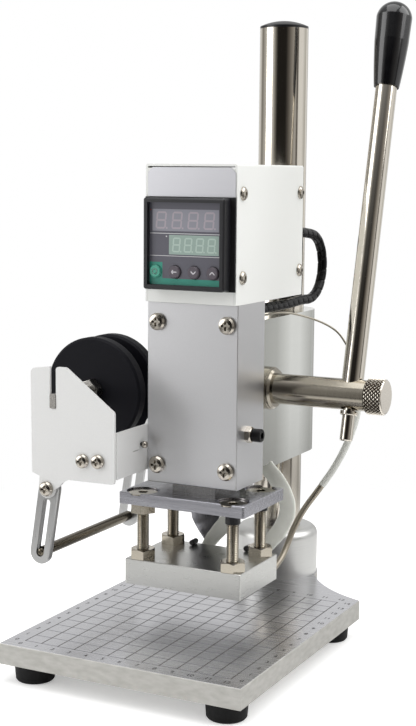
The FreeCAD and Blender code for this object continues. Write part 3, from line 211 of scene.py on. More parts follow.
lowered = put(tree, "ShaderNodeMapRange", {"Value": split.outputs["Z"], "From Min": -0.14, "From Max": -0.28,
                                           "To Max": 0.8}, interpolation_type="SMOOTHSTEP")
tent = put(tree, "ShaderNodeMix", {"Factor": lowered.outputs[0], "A": cloth.outputs["Color"],
                                   "B": ink("#6E6D6B")}, data_type="RGBA")
tent = put(tree, "ShaderNodeMix", {"Factor": raised.outputs[0], "A": tent.outputs["Result"],
                                   "B": ink("#DCDCDC")}, data_type="RGBA")
around = put(tree, "ShaderNodeBackground", {"Color": tent.outputs["Result"], "Strength": 0.85})
white = put(tree, "ShaderNodeBackground", {"Color": ink("#FFFFFF"), "Strength": 1.0})
sky = put(tree, "ShaderNodeMixShader", {0: rays.outputs["Is Camera Ray"], 1: around.outputs[0],
                                        2: white.outputs[0]})
put(tree, "ShaderNodeOutputWorld", {"Surface": sky.outputs[0]})


# WRAPPED BUNDLE
# Heater and sensor leads in a black polyethylene spiral strip, wound by hand over them; it leaves the box
# through a rubber grommet, bows round beside the column and goes back into the head.
def surface(name, shades, metallic, rough, grain, relief=0.0, mapped="Object", specular=0.5, coat=0.0):
    """One finish: soft noise with a grain size in millimetres along X, Y and Z moves the colour between two
    shades and the roughness between two values, and raises a relief given in millimetres. Object
    coordinates run in metres and the UV maps of the leads and sleeves in millimetres."""
    made = bpy.data.materials.new(name)
    made.use_nodes = True
    tree = made.node_tree
    shader = tree.nodes["Principled BSDF"]
    shader.inputs["Metallic"].default_value = metallic
    shader.inputs["Specular IOR Level"].default_value = specular
    shader.inputs["Coat Weight"].default_value = coat
    per_unit = 1000.0 if mapped == "Object" else 1.0
    place = put(tree, "ShaderNodeTexCoord")
    spread = put(tree, "ShaderNodeMapping", {"Vector": place.outputs[mapped],
                                             "Scale": tuple(per_unit / size for size in grain)})
    noise = put(tree, "ShaderNodeTexNoise", {"Vector": spread.outputs[0], "Scale": 1.0, "Detail": 4.0,
                                             "Roughness": 0.6})
    tone = put(tree, "ShaderNodeMix", {"Factor": noise.outputs["Fac"], "A": ink(shades[0]),
                                       "B": ink(shades[1])}, data_type="RGBA")
    gloss = put(tree, "ShaderNodeMapRange", {"Value": noise.outputs["Fac"], "From Min": 0.3, "From Max": 0.7,
                                             "To Min": rough[0], "To Max": rough[1]})
    tree.links.new(tone.outputs["Result"], shader.inputs["Base Color"])
    tree.links.new(gloss.outputs[0], shader.inputs["Roughness"])
    if relief:
        bump = put(tree, "ShaderNodeBump", {"Height": noise.outputs["Fac"], "Distance": relief * 0.001,
                                            "Strength": 1.0})
        tree.links.new(bump.outputs[0], shader.inputs["Normal"])
    return made


def line_of(name, points, radius=0.0):
    """Smooth line: a quadratic rational spline with the route's points as its control points."""
    data = bpy.data.curves.new(name, "CURVE")
    data.dimensions = "3D"
    data.resolution_u = 16
    data.bevel_depth = radius
    data.bevel_resolution = 4
    data.use_fill_caps = True
    spline = data.splines.new("NURBS")
    spline.points.add(len(points) - 1)
    for point, at in zip(spline.points, points):
        point.co = (*at, 1.0)
    spline.order_u = 3
    spline.use_endpoint_u = True
    return in_scene(name, data)


def vertices_of(mesh):
    """Every vertex of a mesh as a row of X, Y and Z."""
    at = np.empty(len(mesh.vertices) * 3)
    mesh.vertices.foreach_get("co", at)
    return at.reshape(-1, 3)


def walk(points, count):
    """Evenly spaced points along the spline of a route, by its running length, and that length at each."""
    guide = line_of("guide", points)
    mesh = bpy.data.meshes.new_from_object(guide)
    at = vertices_of(mesh)
    bpy.data.objects.remove(guide)
    bpy.data.meshes.remove(mesh)
    run = np.concatenate([[0], np.cumsum(np.linalg.norm(np.diff(at, axis=0), axis=1))])
    want = np.linspace(0, run[-1], count)
    return np.stack([np.interp(want, run, at[:, i]) for i in range(3)], 1), want


def unit(rows):
    """Each row divided by its own length."""
    return rows / np.linalg.norm(rows, axis=1, keepdims=True)


def full_turn(count):
    """Evenly spaced angles round a full turn, in radians."""
    return np.linspace(0, 2 * math.pi, count, endpoint=False)


def tube(path, radius, side, turn):
    """Points round a path: the path plus the radius times the cosine and the sine of the angle along two
    directions, one square to the path and to the side direction, and one square to both."""
    along = unit(np.gradient(path, axis=0))
    first = unit(np.cross(along, side))
    second = np.cross(along, first)
    return path[:, None] + radius[..., None] * (np.cos(turn)[None, :, None] * first[:, None]
                                                + np.sin(turn)[None, :, None] * second[:, None])


def skin(name, *grids, uv=None, sharp=None):
    """Mesh through grids of points, rows along the piece and columns around it, each closed at its ends. UV
    is the running length of the rows and of the columns, for a piece of one grid."""
    points, faces = [], []
    for grid in grids:
        n, m = grid.shape[:2]
        i, j = np.meshgrid(np.arange(n - 1), np.arange(m), indexing="ij")
        k = (j + 1) % m
        quads = np.stack([i * m + j, i * m + k, (i + 1) * m + k, (i + 1) * m + j], -1).reshape(-1, 4)
        caps = [list(range(m))[::-1], list(range((n - 1) * m, n * m))]
        faces += [[v + len(points) for v in face] for face in quads.tolist() + caps]
        points += grid.reshape(-1, 3).tolist()
    made = flat_piece(name, points, faces)
    mesh = made.data
    if uv is not None:
        u = np.stack([i, i, i + 1, i + 1], -1).reshape(-1)
        v = np.stack([j, j + 1, j + 1, j], -1).reshape(-1)
        flat = np.stack([uv[0][u], uv[1][v]], -1)
        full = np.zeros((len(mesh.loops), 2))
        full[:len(flat)] = flat
        mesh.uv_layers.new(name="run").data.foreach_set("uv", full.reshape(-1))
    mesh.shade_smooth()
    if sharp:
        mesh.set_sharp_from_angle(angle=math.radians(sharp))
    return made


def dress(material, *nodes):
    """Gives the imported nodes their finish."""
    for node in nodes:
        slots = bpy.data.objects[node].data.materials
        slots.clear()
        slots.append(material)


BUNDLE_X = 0.0205
BUNDLE_R = 0.0029
WRAP_PITCH = 0.0072
GAP_DEPTH, GAP_HALF, GAP_SLOPE = 0.00025, 0.0002, 0.0004
CROWN = 0.00008
BOW_Y, BOW_Z, BOW_R = 0.0998, 0.1894, 0.0199
bow = np.radians([68, 30, -8, -46, -84])
bundle_route = [(BUNDLE_X, 0.0692, 0.2106), (BUNDLE_X, 0.0792, 0.2106), (BUNDLE_X, 0.093, 0.2096)]
bundle_route += [(BUNDLE_X, BOW_Y + BOW_R * math.cos(a), BOW_Z + BOW_R * math.sin(a)) for a in bow]
bundle_route += [(BUNDLE_X, 0.0875, 0.1704), (BUNDLE_X, 0.07, 0.1695), (BUNDLE_X, 0.053, 0.1693),
                 (BUNDLE_X, 0.037, 0.1696), (BUNDLE_X, 0.0174, 0.1695)]
path, run = walk(bundle_route, 900)
turn = full_turn(24)
# Radius: full over the middle of the strip, lower towards its edges by the square of their nearness, and
# 0.25 mm lower in the gap between turns, which winds with the angle less the length over the pitch
phase = (run[:, None] / WRAP_PITCH - turn[None, :] / (2 * math.pi)) % 1.0
edge = np.minimum(phase, 1 - phase) * WRAP_PITCH
strip = BUNDLE_R - GAP_DEPTH * (1 - np.clip((edge - GAP_HALF) / GAP_SLOPE, 0, 1))
strip -= CROWN * (1 - (edge / (WRAP_PITCH / 2)).clip(0, 1)) ** 2
bundle = skin("spiral_wrap", tube(path, strip, (1.0, 0.0, 0.0), turn))
# Smooth black polyethylene: nearly black, with a soft narrow shine along each turn
wrap_black = surface("black_polyethylene_strip", ("#030304", "#070709"), 0.0, (0.2, 0.3), (3, 3, 3), 0.01,
                     specular=0.16)
bundle.data.materials.append(wrap_black)
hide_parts("cable_bundle")
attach(bundle, "head")

# SENSOR LEAD
# Thermocouple lead of stainless wire: bare where it leaves the head, then in a silicone-coated glass sleeve,
# and in a flexible stainless tube down to the probe in the block.
WIRE_R = 0.0006
wire_route = [(0.0205, 0.0184, 0.16565), (0.0208, 0.038, 0.16575), (0.0238, 0.055, 0.166),
              (0.032, 0.0675, 0.1626), (0.0416, 0.075, 0.1582), (0.0498, 0.0788, 0.1519),
              (0.054, 0.079, 0.144)]
wire = line_of("bare_lead", wire_route, WIRE_R)
# Drawn stainless wire: warm grey, half bright
wire_steel = surface("drawn_stainless_wire", ("#8E887C", "#B4AEA2"), 1.0, (0.28, 0.4), (2, 2, 2), 0.004)
wire.data.materials.append(wire_steel)
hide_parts("probe_wire")
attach(wire, "head")

SLEEVE_R, SLEEVE_END_Z = 0.002, 0.0655
TUBE_STEP, STEP_LONG, RIDGE_HIGH, RIDGE_PITCH = 0.0002, 0.0004, 0.00006, 0.0011
TAPER_LONG, TAPER_DEEP = 0.004, 0.0013
lead_route = [(0.054, 0.079, 0.144), (0.0588, 0.0792, 0.135), (0.0622, 0.078, 0.121),
              (0.0618, 0.0752, 0.1056), (0.058, 0.0712, 0.0904), (0.0514, 0.0674, 0.0754),
              (0.0434, 0.0636, 0.0626), (0.0362, 0.059, 0.0512), (0.0324, 0.0536, 0.041),
              (0.031, 0.0476, 0.0316), (0.0306, 0.0396, 0.0248), (0.0305, 0.0306, 0.02235)]
path, run = walk(lead_route, 420)
turn = full_turn(20)
# Radius: 2 mm along the sleeve, less a taper to the wire by the square of the way left of its first 4 mm.
# Along the tube, lower than 65.5 mm above the plate, it is 0.2 mm less, plus a cosine of the length for the
# ridges
sleeve_end = run[np.argmin(np.abs(path[:, 2] - SLEEVE_END_Z))]
tube_part = np.clip((run - sleeve_end) / STEP_LONG, 0, 1)
ridge = RIDGE_HIGH * np.cos(2 * math.pi * run / RIDGE_PITCH) * tube_part
taper = TAPER_DEEP * np.clip(1 - run / TAPER_LONG, 0, 1) ** 2
thick = SLEEVE_R - TUBE_STEP * tube_part + ridge - taper
millimetres_round = np.linspace(0, 12.6, len(turn) + 1)
lead = skin("sensor_lead", tube(path, thick[:, None], (0.55, -0.83, 0.0), turn),
            uv=(run * 1000, millimetres_round))
# Silicone-coated glass braid: off-white and dull, with a weave that shows only as a soft grain
sleeve_coat = surface("coated_glass_sleeve", ("#CFD0CA", "#E0E1DB"), 0.0, (0.42, 0.55), (1.2, 0.8, 1), 0.03,
                      "UV")
# Flexible tube: grey steel with light and dark rings
lead_steel = surface("flexible_stainless_tube", ("#8A8275", "#A9A194"), 1.0, (0.3, 0.42), (0.6, 2.5, 1), 0.02,
                     "UV")
lead.data.materials.append(sleeve_coat)
lead.data.materials.append(lead_steel)
on_tube = np.repeat(run[:-1] > sleeve_end, len(turn))
lead.data.polygons.foreach_set("material_index", np.concatenate([on_tube, [False, True]]).astype(np.int32))
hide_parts("probe_lead")
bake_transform(lead)


# BASE PLATE
# Aluminium plate, its top ground and polished to a dull mirror and screen-printed with a centimetre grid,
# its edges milled and bead-blasted; four rubber feet are screwed under it.
def open_up(material):
    """What a finish's later nodes build on: its node tree, its shader, the outputs that give its colour and
    its roughness, the texture coordinates, and a point's own X, Y and Z."""
    tree = material.node_tree
    shader = tree.nodes["Principled BSDF"]
    colour = shader.inputs["Base Color"].links[0].from_socket
    gloss = shader.inputs["Roughness"].links[0].from_socket
    place = put(tree, "ShaderNodeTexCoord")
    split = put(tree, "ShaderNodeSeparateXYZ", {0: place.outputs["Object"]})
    return tree, shader, colour, gloss, place, split


GRID_X = (-60, 60)
GRID_Y = (-85, 55)
LINE_HALF = 0.28
FADE_OUT, FADE_IN = 0.012, 0.004
CROSS_SHARE = 0.8
# Ground top: a dull mirror with streaks along X. The ink of the grid is dark and barely shines, and the
# edges are rougher and mottled by the blasting
plate_top = surface("ground_aluminium_with_printed_grid", ("#C0C0C4", "#D0D0D3"), 1.0, (0.2, 0.3),
                    (60, 1.2, 5), 0.0015, specular=0.1)
tree, shader, ground_tone, ground_gloss, place, split = open_up(plate_top)
# A line is where the way to the nearest whole centimetre is under its half width, with a soft border
marked = []
for axis, (low, high) in (("X", GRID_X), ("Y", GRID_Y)):
    steps = put(tree, "ShaderNodeMath", {0: split.outputs[axis], 1: 100.0, 2: -low / 10.0},
                operation="MULTIPLY_ADD")
    away = put(tree, "ShaderNodeMath", {0: steps.outputs[0], 1: 0.5}, operation="PINGPONG")
    inked = put(tree, "ShaderNodeMapRange", {"Value": away.outputs[0], "From Min": LINE_HALF / 10 + FADE_OUT,
                                             "From Max": LINE_HALF / 10 - FADE_IN})
    middle, half = (low + high) / 2000.0, (high - low) / 2000.0 + LINE_HALF / 1000.0
    centred = put(tree, "ShaderNodeMath", {0: split.outputs[axis], 1: middle, 2: half}, operation="COMPARE")
    marked += [inked.outputs[0], centred.outputs[0]]
down, within_x, cross, within_y = marked
on_top = put(tree, "ShaderNodeMath", {0: split.outputs["Z"], 1: -0.0001}, operation="GREATER_THAN")
inside = put(tree, "ShaderNodeMath", {0: within_x, 1: within_y}, operation="MULTIPLY")
inside = put(tree, "ShaderNodeMath", {0: inside.outputs[0], 1: on_top.outputs[0]}, operation="MULTIPLY")
down_lines = put(tree, "ShaderNodeMath", {0: down, 1: inside.outputs[0]}, operation="MULTIPLY")
cross_lines = put(tree, "ShaderNodeMath", {0: cross, 1: inside.outputs[0]}, operation="MULTIPLY")
faint = put(tree, "ShaderNodeMath", {0: cross_lines.outputs[0], 1: CROSS_SHARE}, operation="MULTIPLY")
tone = put(tree, "ShaderNodeMix", {"Factor": faint.outputs[0], "A": ground_tone, "B": ink("#30303A")},
           data_type="RGBA")
tone = put(tree, "ShaderNodeMix", {"Factor": down_lines.outputs[0], "A": tone.outputs["Result"],
                                   "B": ink("#2A201B")}, data_type="RGBA")
spread = put(tree, "ShaderNodeMapping", {"Vector": place.outputs["Object"], "Scale": (160.0, 160.0, 420.0)})
mottle = put(tree, "ShaderNodeTexNoise", {"Vector": spread.outputs[0], "Scale": 1.0, "Detail": 4.0})
side_tone = put(tree, "ShaderNodeMix", {"Factor": mottle.outputs["Fac"], "A": ink("#9F9D98"),
                                        "B": ink("#C6C5C1")}, data_type="RGBA")
edge_tone = put(tree, "ShaderNodeMix", {"Factor": on_top.outputs[0], "A": side_tone.outputs["Result"],
                                        "B": tone.outputs["Result"]}, data_type="RGBA")
any_line = put(tree, "ShaderNodeMath", {0: faint.outputs[0], 1: down_lines.outputs[0]}, operation="MAXIMUM")
bare = put(tree, "ShaderNodeMath", {0: 1.0, 1: any_line.outputs[0]}, operation="SUBTRACT")
edge_gloss = put(tree, "ShaderNodeMix", {"Factor": on_top.outputs[0], "A": 0.5, "B": ground_gloss},
                 data_type="FLOAT")
tree.links.new(edge_tone.outputs["Result"], shader.inputs["Base Color"])
tree.links.new(edge_gloss.outputs["Result"], shader.inputs["Roughness"])
tree.links.new(bare.outputs[0], shader.inputs["Metallic"])
dress(plate_top, "base_plate")

# Numerals of the scale, printed in dark ink: one row along each side of the grid, with its middle so many
# millimetres from that side
FRONT_GAP, REAR_GAP, RIGHT_GAP, LEFT_GAP = 4.8, 5.7, 5.7, 5.3
NUMERAL_SIZE, INK_THICK = 0.0041, 0.00002
labels = [(str(i), GRID_X[0] + 10 * i, GRID_Y[0] - FRONT_GAP) for i in range(13)]
labels += [(str(i), GRID_X[0] + 10 * i, GRID_Y[1] + REAR_GAP) for i in range(13)]
labels += [(str(i), GRID_X[1] + RIGHT_GAP, GRID_Y[0] + 10 * i) for i in range(15)]
labels += [(str(i), GRID_X[0] - LEFT_GAP, GRID_Y[0] + 10 * i) for i in range(15)]
points, faces = [], []
for word, x, y in labels:
    text = bpy.data.curves.new("numeral", "FONT")
    text.body = word
    text.size = NUMERAL_SIZE
    text.resolution_u = 3
    text.align_x, text.align_y = "CENTER", "CENTER"
    holder = bpy.data.objects.new("numeral", text)
    flat = bpy.data.meshes.new_from_object(holder)
    faces += [[v + len(points) for v in face.vertices] for face in flat.polygons]
    points += (vertices_of(flat) + (x / 1000, y / 1000, INK_THICK)).tolist()
    bpy.data.objects.remove(holder)
    bpy.data.meshes.remove(flat)
    bpy.data.curves.remove(text)
numerals = flat_piece("scale_numerals", points, faces)
# Screen ink: dark brown-grey and dull
dark_ink = surface("dark_screen_ink", ("#14110F", "#1D1917"), 0.0, (0.45, 0.6), (2, 2, 2), specular=0.1)
numerals.data.materials.append(dark_ink)
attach(numerals, "base")

# Moulded rubber: deep black, no clear reflection
rubber = surface("moulded_black_rubber", ("#060607", "#0D0D0E"), 0.0, (0.55, 0.7), (1.5, 1.5, 1.5), 0.03,
                 specular=0.25)
dress(rubber, "rubber_feet", "grommet")
# Zinc plate: bluish grey, half bright
zinc = surface("zinc_plated_steel", ("#8D8F90", "#A9ABAB"), 1.0, (0.25, 0.38), (1.5, 1.5, 1.5), 0.004)
dress(zinc, "feet_screws")

# COLUMN AND COLLAR
# Steel tube, ground and bright nickel plated, with a pressed plastic cap; it stands in an aluminium collar
# that was turned on a lathe, screwed up from below and held by a set screw behind.
RING_SPAN, RING_PITCH, RING_SHIFT = 30, 0.35, -3.3792
# Turned aluminium: pale and soft, with level rings 0.35 mm apart; the shift sets the grain on the column
turned = surface("turned_aluminium", ("#C3C3C1", "#D6D6D4"), 1.0, (0.36, 0.46),
                 (RING_SPAN, RING_SPAN, RING_PITCH), 0.004)
turned.node_tree.nodes["Mapping"].inputs["Location"].default_value = (0, RING_SHIFT, 0)
dress(turned, "collar")
# Bright nickel: a warm mirror, blurred only a little
nickel = surface("bright_nickel_plate", ("#D6CFC3", "#E2DCD1"), 1.0, (0.08, 0.14), (9, 9, 30), 0.001)
dress(nickel, "column")
# Polyethylene cap: waxy black
cap_plastic = surface("black_polyethylene_cap", ("#0D0D0F", "#17171A"), 0.0, (0.3, 0.42), (1, 1, 1), 0.02)
dress(cap_plastic, "column_cap")
# Black oxide: near black with a steel's sheen at the edges
black_oxide = surface("black_oxide_steel", ("#0D0D0E", "#1B1B1C"), 0.7, (0.3, 0.45), (1, 1, 1), 0.01)
dress(black_oxide, "collar_screws", "clamp_screws", "brake_screw", "ram_screws")
# Brass: dull yellow, shut in the clamp
brass = surface("turned_brass", ("#A98A45", "#BD9C55"), 1.0, (0.25, 0.35), (1, 1, 1), 0.003)
dress(brass, "clamp_pads")

# HEAD
# One aluminium block, milled, bead-blasted and clear anodised, with a cover plate of the same finish held by
# four nickel-plated cross-recess screws.
STEP_Y, REAR_Y = 0.0205, 0.1234
# Anodised over blasting: an even satin silver without streaks
ANODISED = (("#D2D2D4", "#DDDDDF"), 1.0, (0.36, 0.46), (0.5, 0.5, 0.5), 0.012)
dress(surface("clear_anodised_aluminium", *ANODISED), "cover_plate", "bearing_cap")
# The rear half is left as milled: brighter, glossier and with fine level lines
milled_rear = surface("anodised_front_milled_rear", *ANODISED)
tree, shader, front_tone, front_gloss, place, split = open_up(milled_rear)
rear = put(tree, "ShaderNodeMath", {0: split.outputs["Y"], 1: STEP_Y}, operation="GREATER_THAN")
spread = put(tree, "ShaderNodeMapping", {"Vector": place.outputs["Object"], "Scale": (20.0, 20.0, 6000.0)})
lines = put(tree, "ShaderNodeTexNoise", {"Vector": spread.outputs[0], "Scale": 1.0, "Detail": 3.0})
tone = put(tree, "ShaderNodeMix", {"Factor": lines.outputs["Fac"], "A": ink("#E4E5E1"), "B": ink("#F2F3EF")},
           data_type="RGBA")
# Along its side walls the colour is multiplied by painted light: one soft upright band of painted highlight,
# with painted shade towards both ends, as in the photograph
wall = put(tree, "ShaderNodeSeparateXYZ", {0: place.outputs["Normal"]})
sideways = put(tree, "ShaderNodeMath", {0: wall.outputs["X"]}, operation="ABSOLUTE")
on_wall = put(tree, "ShaderNodeMath", {0: sideways.outputs[0], 1: 0.7}, operation="GREATER_THAN")
length = put(tree, "ShaderNodeMapRange", {"Value": split.outputs["Y"], "From Min": STEP_Y,
                                          "From Max": REAR_Y})
band = put(tree, "ShaderNodeValToRGB", {0: length.outputs[0]})
tint(band.color_ramp, ((0.0, "#BDBDBB"), (0.3, "#CFCFCD"), (0.5, "#FFFFFF"), (0.62, "#FFFFFF"),
                       (0.8, "#C8C8C6"), (1.0, "#9C9C9A")))
rear_wall_painted_light = put(tree, "ShaderNodeMix", {"Factor": on_wall.outputs[0], "A": tone.outputs["Result"],
                                     "B": band.outputs[0]}, data_type="RGBA", blend_type="MULTIPLY")
tone = put(tree, "ShaderNodeMix", {"Factor": rear.outputs[0], "A": front_tone, "B": rear_wall_painted_light.outputs["Result"]},
           data_type="RGBA")
gloss = put(tree, "ShaderNodeMix", {"Factor": rear.outputs[0], "A": front_gloss, "B": 0.2}, data_type="FLOAT")
tree.links.new(tone.outputs["Result"], shader.inputs["Base Color"])
tree.links.new(gloss.outputs["Result"], shader.inputs["Roughness"])
dress(milled_rear, "head_body")
# Nickel-plated screws: small warm mirrors with uneven tone
screw_nickel = surface("nickel_plated_screws", ("#A8A196", "#CBC5BB"), 1.0, (0.12, 0.24), (1.2, 1.2, 1.2),
                       0.006)
dress(screw_nickel, "cover_screws", "cap_screws", "brake_lock_nut")

# DRIVE
# Cross shaft, bush, lever and its ring are turned steel, bright nickel plated; the grip is a turned and
# polished phenolic handle, and the end knob is knurled with a diamond pattern.

# Plated shaft: darker and less sharp than the lever, with rings of the turning round it
shaft_nickel = surface("nickel_plated_shaft", ("#8D877C", "#A59F93"), 1.0, (0.14, 0.22), (0.5, 8, 8), 0.0015)
dress(shaft_nickel, "pinion_shaft", "bearing_bush")
# Plated lever: the clearest mirror of the plated parts
lever_nickel = surface("nickel_plated_lever", ("#D6CFC3", "#E2DCD1"), 1.0, (0.07, 0.12), (7, 7, 25), 0.001)
dress(lever_nickel, "lever_rod", "lever_nut")
# Phenolic: black, with a clear bright streak along the grip
phenolic = surface("polished_black_phenolic", ("#08080A", "#0F0F12"), 0.0, (0.12, 0.2), (4, 4, 4), 0.004,
                   coat=0.4)
dress(phenolic, "lever_grip")

KNOB_X, KNOB_Y, KNOB_Z = 0.0833, 0.0334, 0.125
KNOB_R, KNOB_T = 0.010, 0.0107
KNURL_STARTS, KNURL_PITCH, KNURL_DEEP = 28, 0.0022, 0.0008
VALLEY_R, LAND_R = 0.0094, 0.0097
RIM_START, RIM_LONG, RIM_ROWS, END_LONG = 0.0009, 0.0088, 88, 0.0007
# Profile of radius over length; on the rim, diamonds 0.8 mm high: the lower of two triangle waves that wind
# round it in opposite senses, 28 to the turn, which is as coarse as they need to be to show
profile = np.array([(0.00001, 0.0001), (0.0086, 0.0001), (0.0092, 0.0002), (0.0095, 0.0007)]
                   + [(KNOB_R - 0.00002, RIM_START + RIM_LONG * k / RIM_ROWS) for k in range(RIM_ROWS + 1)]
                   + [(0.0095, 0.01), (0.0091, 0.01045), (0.0086, KNOB_T), (0.00001, KNOB_T)])
turn = full_turn(432)
radius, along = profile[:, 0][:, None], profile[:, 1][:, None]
starts = KNURL_STARTS * turn / (2 * math.pi)
wave = np.minimum(np.abs((starts + along / KNURL_PITCH) % 1 - 0.5),
                  np.abs((starts - along / KNURL_PITCH) % 1 - 0.5)) * 2
rim = radius - KNURL_DEEP * (radius > LAND_R) * (1 - np.clip(wave * 1.2, 0, 1))
grid = np.stack([KNOB_X + along + 0 * turn, KNOB_Y + rim * np.cos(turn), KNOB_Z + rim * np.sin(turn)], -1)
knob = skin("knurled_knob", grid, sharp=20)
# Nickel over the knurl: bright lands, and painted shade in the valleys, told apart by the distance from the
# knob's axis. The cross product with X turns (x, y, z) into (0, z, -y), so that distance is the one to the
# axis's own product
knob_nickel = surface("nickel_plated_knurl", ("#D8D1C5", "#EAE3D8"), 1.0, (0.16, 0.26), (1, 1, 1), 0.006)
tree, shader, bright, _, place, split = open_up(knob_nickel)
turned_out = put(tree, "ShaderNodeVectorMath", {0: place.outputs["Object"], 1: (1.0, 0.0, 0.0)},
                 operation="CROSS_PRODUCT")
reach = put(tree, "ShaderNodeVectorMath", {0: turned_out.outputs[0], 1: (0.0, KNOB_Z, -KNOB_Y)},
            operation="DISTANCE")
depth = put(tree, "ShaderNodeMapRange", {"Value": reach.outputs["Value"], "From Min": VALLEY_R,
                                         "From Max": LAND_R})
flat_end = put(tree, "ShaderNodeMath", {0: split.outputs["X"], 1: KNOB_X + KNOB_T - END_LONG},
               operation="GREATER_THAN")
# Painted shade: the valleys take a dark brown-grey, while the lands and the flat end keep the nickel
lands_out_of_painted_shade = put(tree, "ShaderNodeMath", {0: depth.outputs[0], 1: flat_end.outputs[0]}, operation="MAXIMUM")
tone = put(tree, "ShaderNodeMix", {"Factor": lands_out_of_painted_shade.outputs[0], "A": ink("#453F36"), "B": bright},
           data_type="RGBA")
tree.links.new(tone.outputs["Result"], shader.inputs["Base Color"])
knob.data.materials.append(knob_nickel)
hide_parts("shaft_knob")
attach(knob, "knob")

# TOOL
# Aluminium top plate milled all over, over a heated aluminium block with a ground top, joined by four
# nickel-plated countersunk bolts with hex nuts; the right pair of upper nuts are rings coloured plain black,
# a painted dark reflection in place of their nickel.

# Milled plate: greyer, with streaks along X
milled = surface("milled_aluminium_plate", ("#A6A6AD", "#BBBBC1"), 1.0, (0.2, 0.3), (25, 0.8, 1.5), 0.003)
dress(milled, "top_plate")
# Ground block: pale and even, with level streaks on its sides
block_metal = surface("ground_aluminium_block", ("#B9B9B6", "#C6C6C3"), 1.0, (0.26, 0.33), (14, 6, 0.5),
                      0.0008)
dress(block_metal, "heated_block")
# Nickel over threads: warm, with strong light and dark
bolt_nickel = surface("nickel_plated_bolts", ("#A39C8E", "#C6BFB2"), 1.0, (0.1, 0.22), (1.0, 1.0, 1.0), 0.006)
dress(bolt_nickel, "lower_nuts")
# Bolts in millimetres: a thread of 1 mm pitch and 0.5 mm depth along the shank, a countersunk head and a
# hexagon socket. Thread: radius less the depth times a triangle wave of the height less the share of a
# turn, faded out over 0.8 mm at both ends. Socket: half its width over the cosine of the angle from the
# middle of a flat.
BOLT_X, BOLT_Y, BOLT_LOW, BOLT_SEAT, BOLT_TOP = 27.5, 17.5, 25.5, 65.1, 69.8
THREAD_R, THREAD_DEEP, THREAD_RUN_OUT, THREAD_FADE = 3.46, 0.5, 0.2, 0.8
SOCKET_HALF, SOCKET_DEEP = 2.5, 3
turn = full_turn(30)
height = np.arange(BOLT_LOW + THREAD_RUN_OUT, BOLT_SEAT - THREAD_RUN_OUT, 1 / 6)
phase = (height[:, None] - turn[None, :] / (2 * math.pi)) % 1
to_end = np.minimum(height - BOLT_LOW - THREAD_RUN_OUT, BOLT_SEAT - THREAD_RUN_OUT - height)
fade = np.clip(to_end / THREAD_FADE, 0, 1)[:, None]
shank = THREAD_R - THREAD_DEEP * fade * np.clip(np.abs(phase - 0.5) * 2.4, 0, 1)
socket = SOCKET_HALF / np.cos((turn + math.pi / 6) % (math.pi / 3) - math.pi / 6)
rows = [(BOLT_LOW, 0.01), (BOLT_LOW, 3.0)]
rows += list(zip(height, shank))
rows += [(BOLT_SEAT, 3.5), (69.3, 8.22), (69.6, 8.25), (BOLT_TOP, 8.1), (BOLT_TOP, socket + 0.15),
         (BOLT_TOP - 0.15, socket), (BOLT_TOP - SOCKET_DEEP, socket), (BOLT_TOP - SOCKET_DEEP, 0.01)]
grids = [np.array([np.stack([x + r * np.cos(turn), y + r * np.sin(turn), z + 0 * turn], -1)
                   for z, r in rows]) / 1000
         for x in (-BOLT_X, BOLT_X) for y in (-BOLT_Y, BOLT_Y)]
bolts = skin("threaded_bolts", *grids, sharp=25)
bolts.data.materials.append(bolt_nickel)
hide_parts("plate_bolts")
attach(bolts, "ram")
# Upper nuts: nickel on the left pair; the right pair get a painted dark reflection, plain black and not
# metallic, in place of the nickel
nuts_with_painted_dark = surface("nickel_nuts_with_painted_dark_reflection", ("#A39C8E", "#C6BFB2"), 1.0, (0.14, 0.26), (1, 1, 1),
                     0.006)
tree, shader, plated, _, _, split = open_up(nuts_with_painted_dark)
painted_dark_pair = put(tree, "ShaderNodeMath", {0: split.outputs["X"], 1: 0.0}, operation="GREATER_THAN")
tone = put(tree, "ShaderNodeMix", {"Factor": painted_dark_pair.outputs[0], "A": plated, "B": ink("#17171A")},
           data_type="RGBA")
bare = put(tree, "ShaderNodeMath", {0: 1.0, 1: painted_dark_pair.outputs[0]}, operation="SUBTRACT")
tree.links.new(tone.outputs["Result"], shader.inputs["Base Color"])
tree.links.new(bare.outputs[0], shader.inputs["Metallic"])
dress(nuts_with_painted_dark, "upper_nuts")
# Ground steel: darker than the aluminium, with upright streaks
ground_steel = surface("ground_steel", ("#7F7E7C", "#9A9997"), 1.0, (0.2, 0.3), (1, 1, 12), 0.003)
dress(ground_steel, "ram")
# Stainless sheath: brownish grey from the heat
sheath = surface("stainless_sheath", ("#8C8576", "#ACA595"), 1.0, (0.25, 0.38), (2, 2, 2), 0.004)
dress(sheath, "heaters", "probe")


# HEATER SLEEVES
# Woven glass-fibre sleeves over the heater leads, silicone coated and pressed flat; they leave the rear of
# the head, fold once and end at the heaters in the block. Beside the left hangs a dark sheet of painted
# shade, with streaks of painted reflection, standing for the shaded side of a folded sleeve.
RIPPLE_HIGH, RIPPLE_PITCH, HELD_LONG = 0.00015, 0.007, 0.006


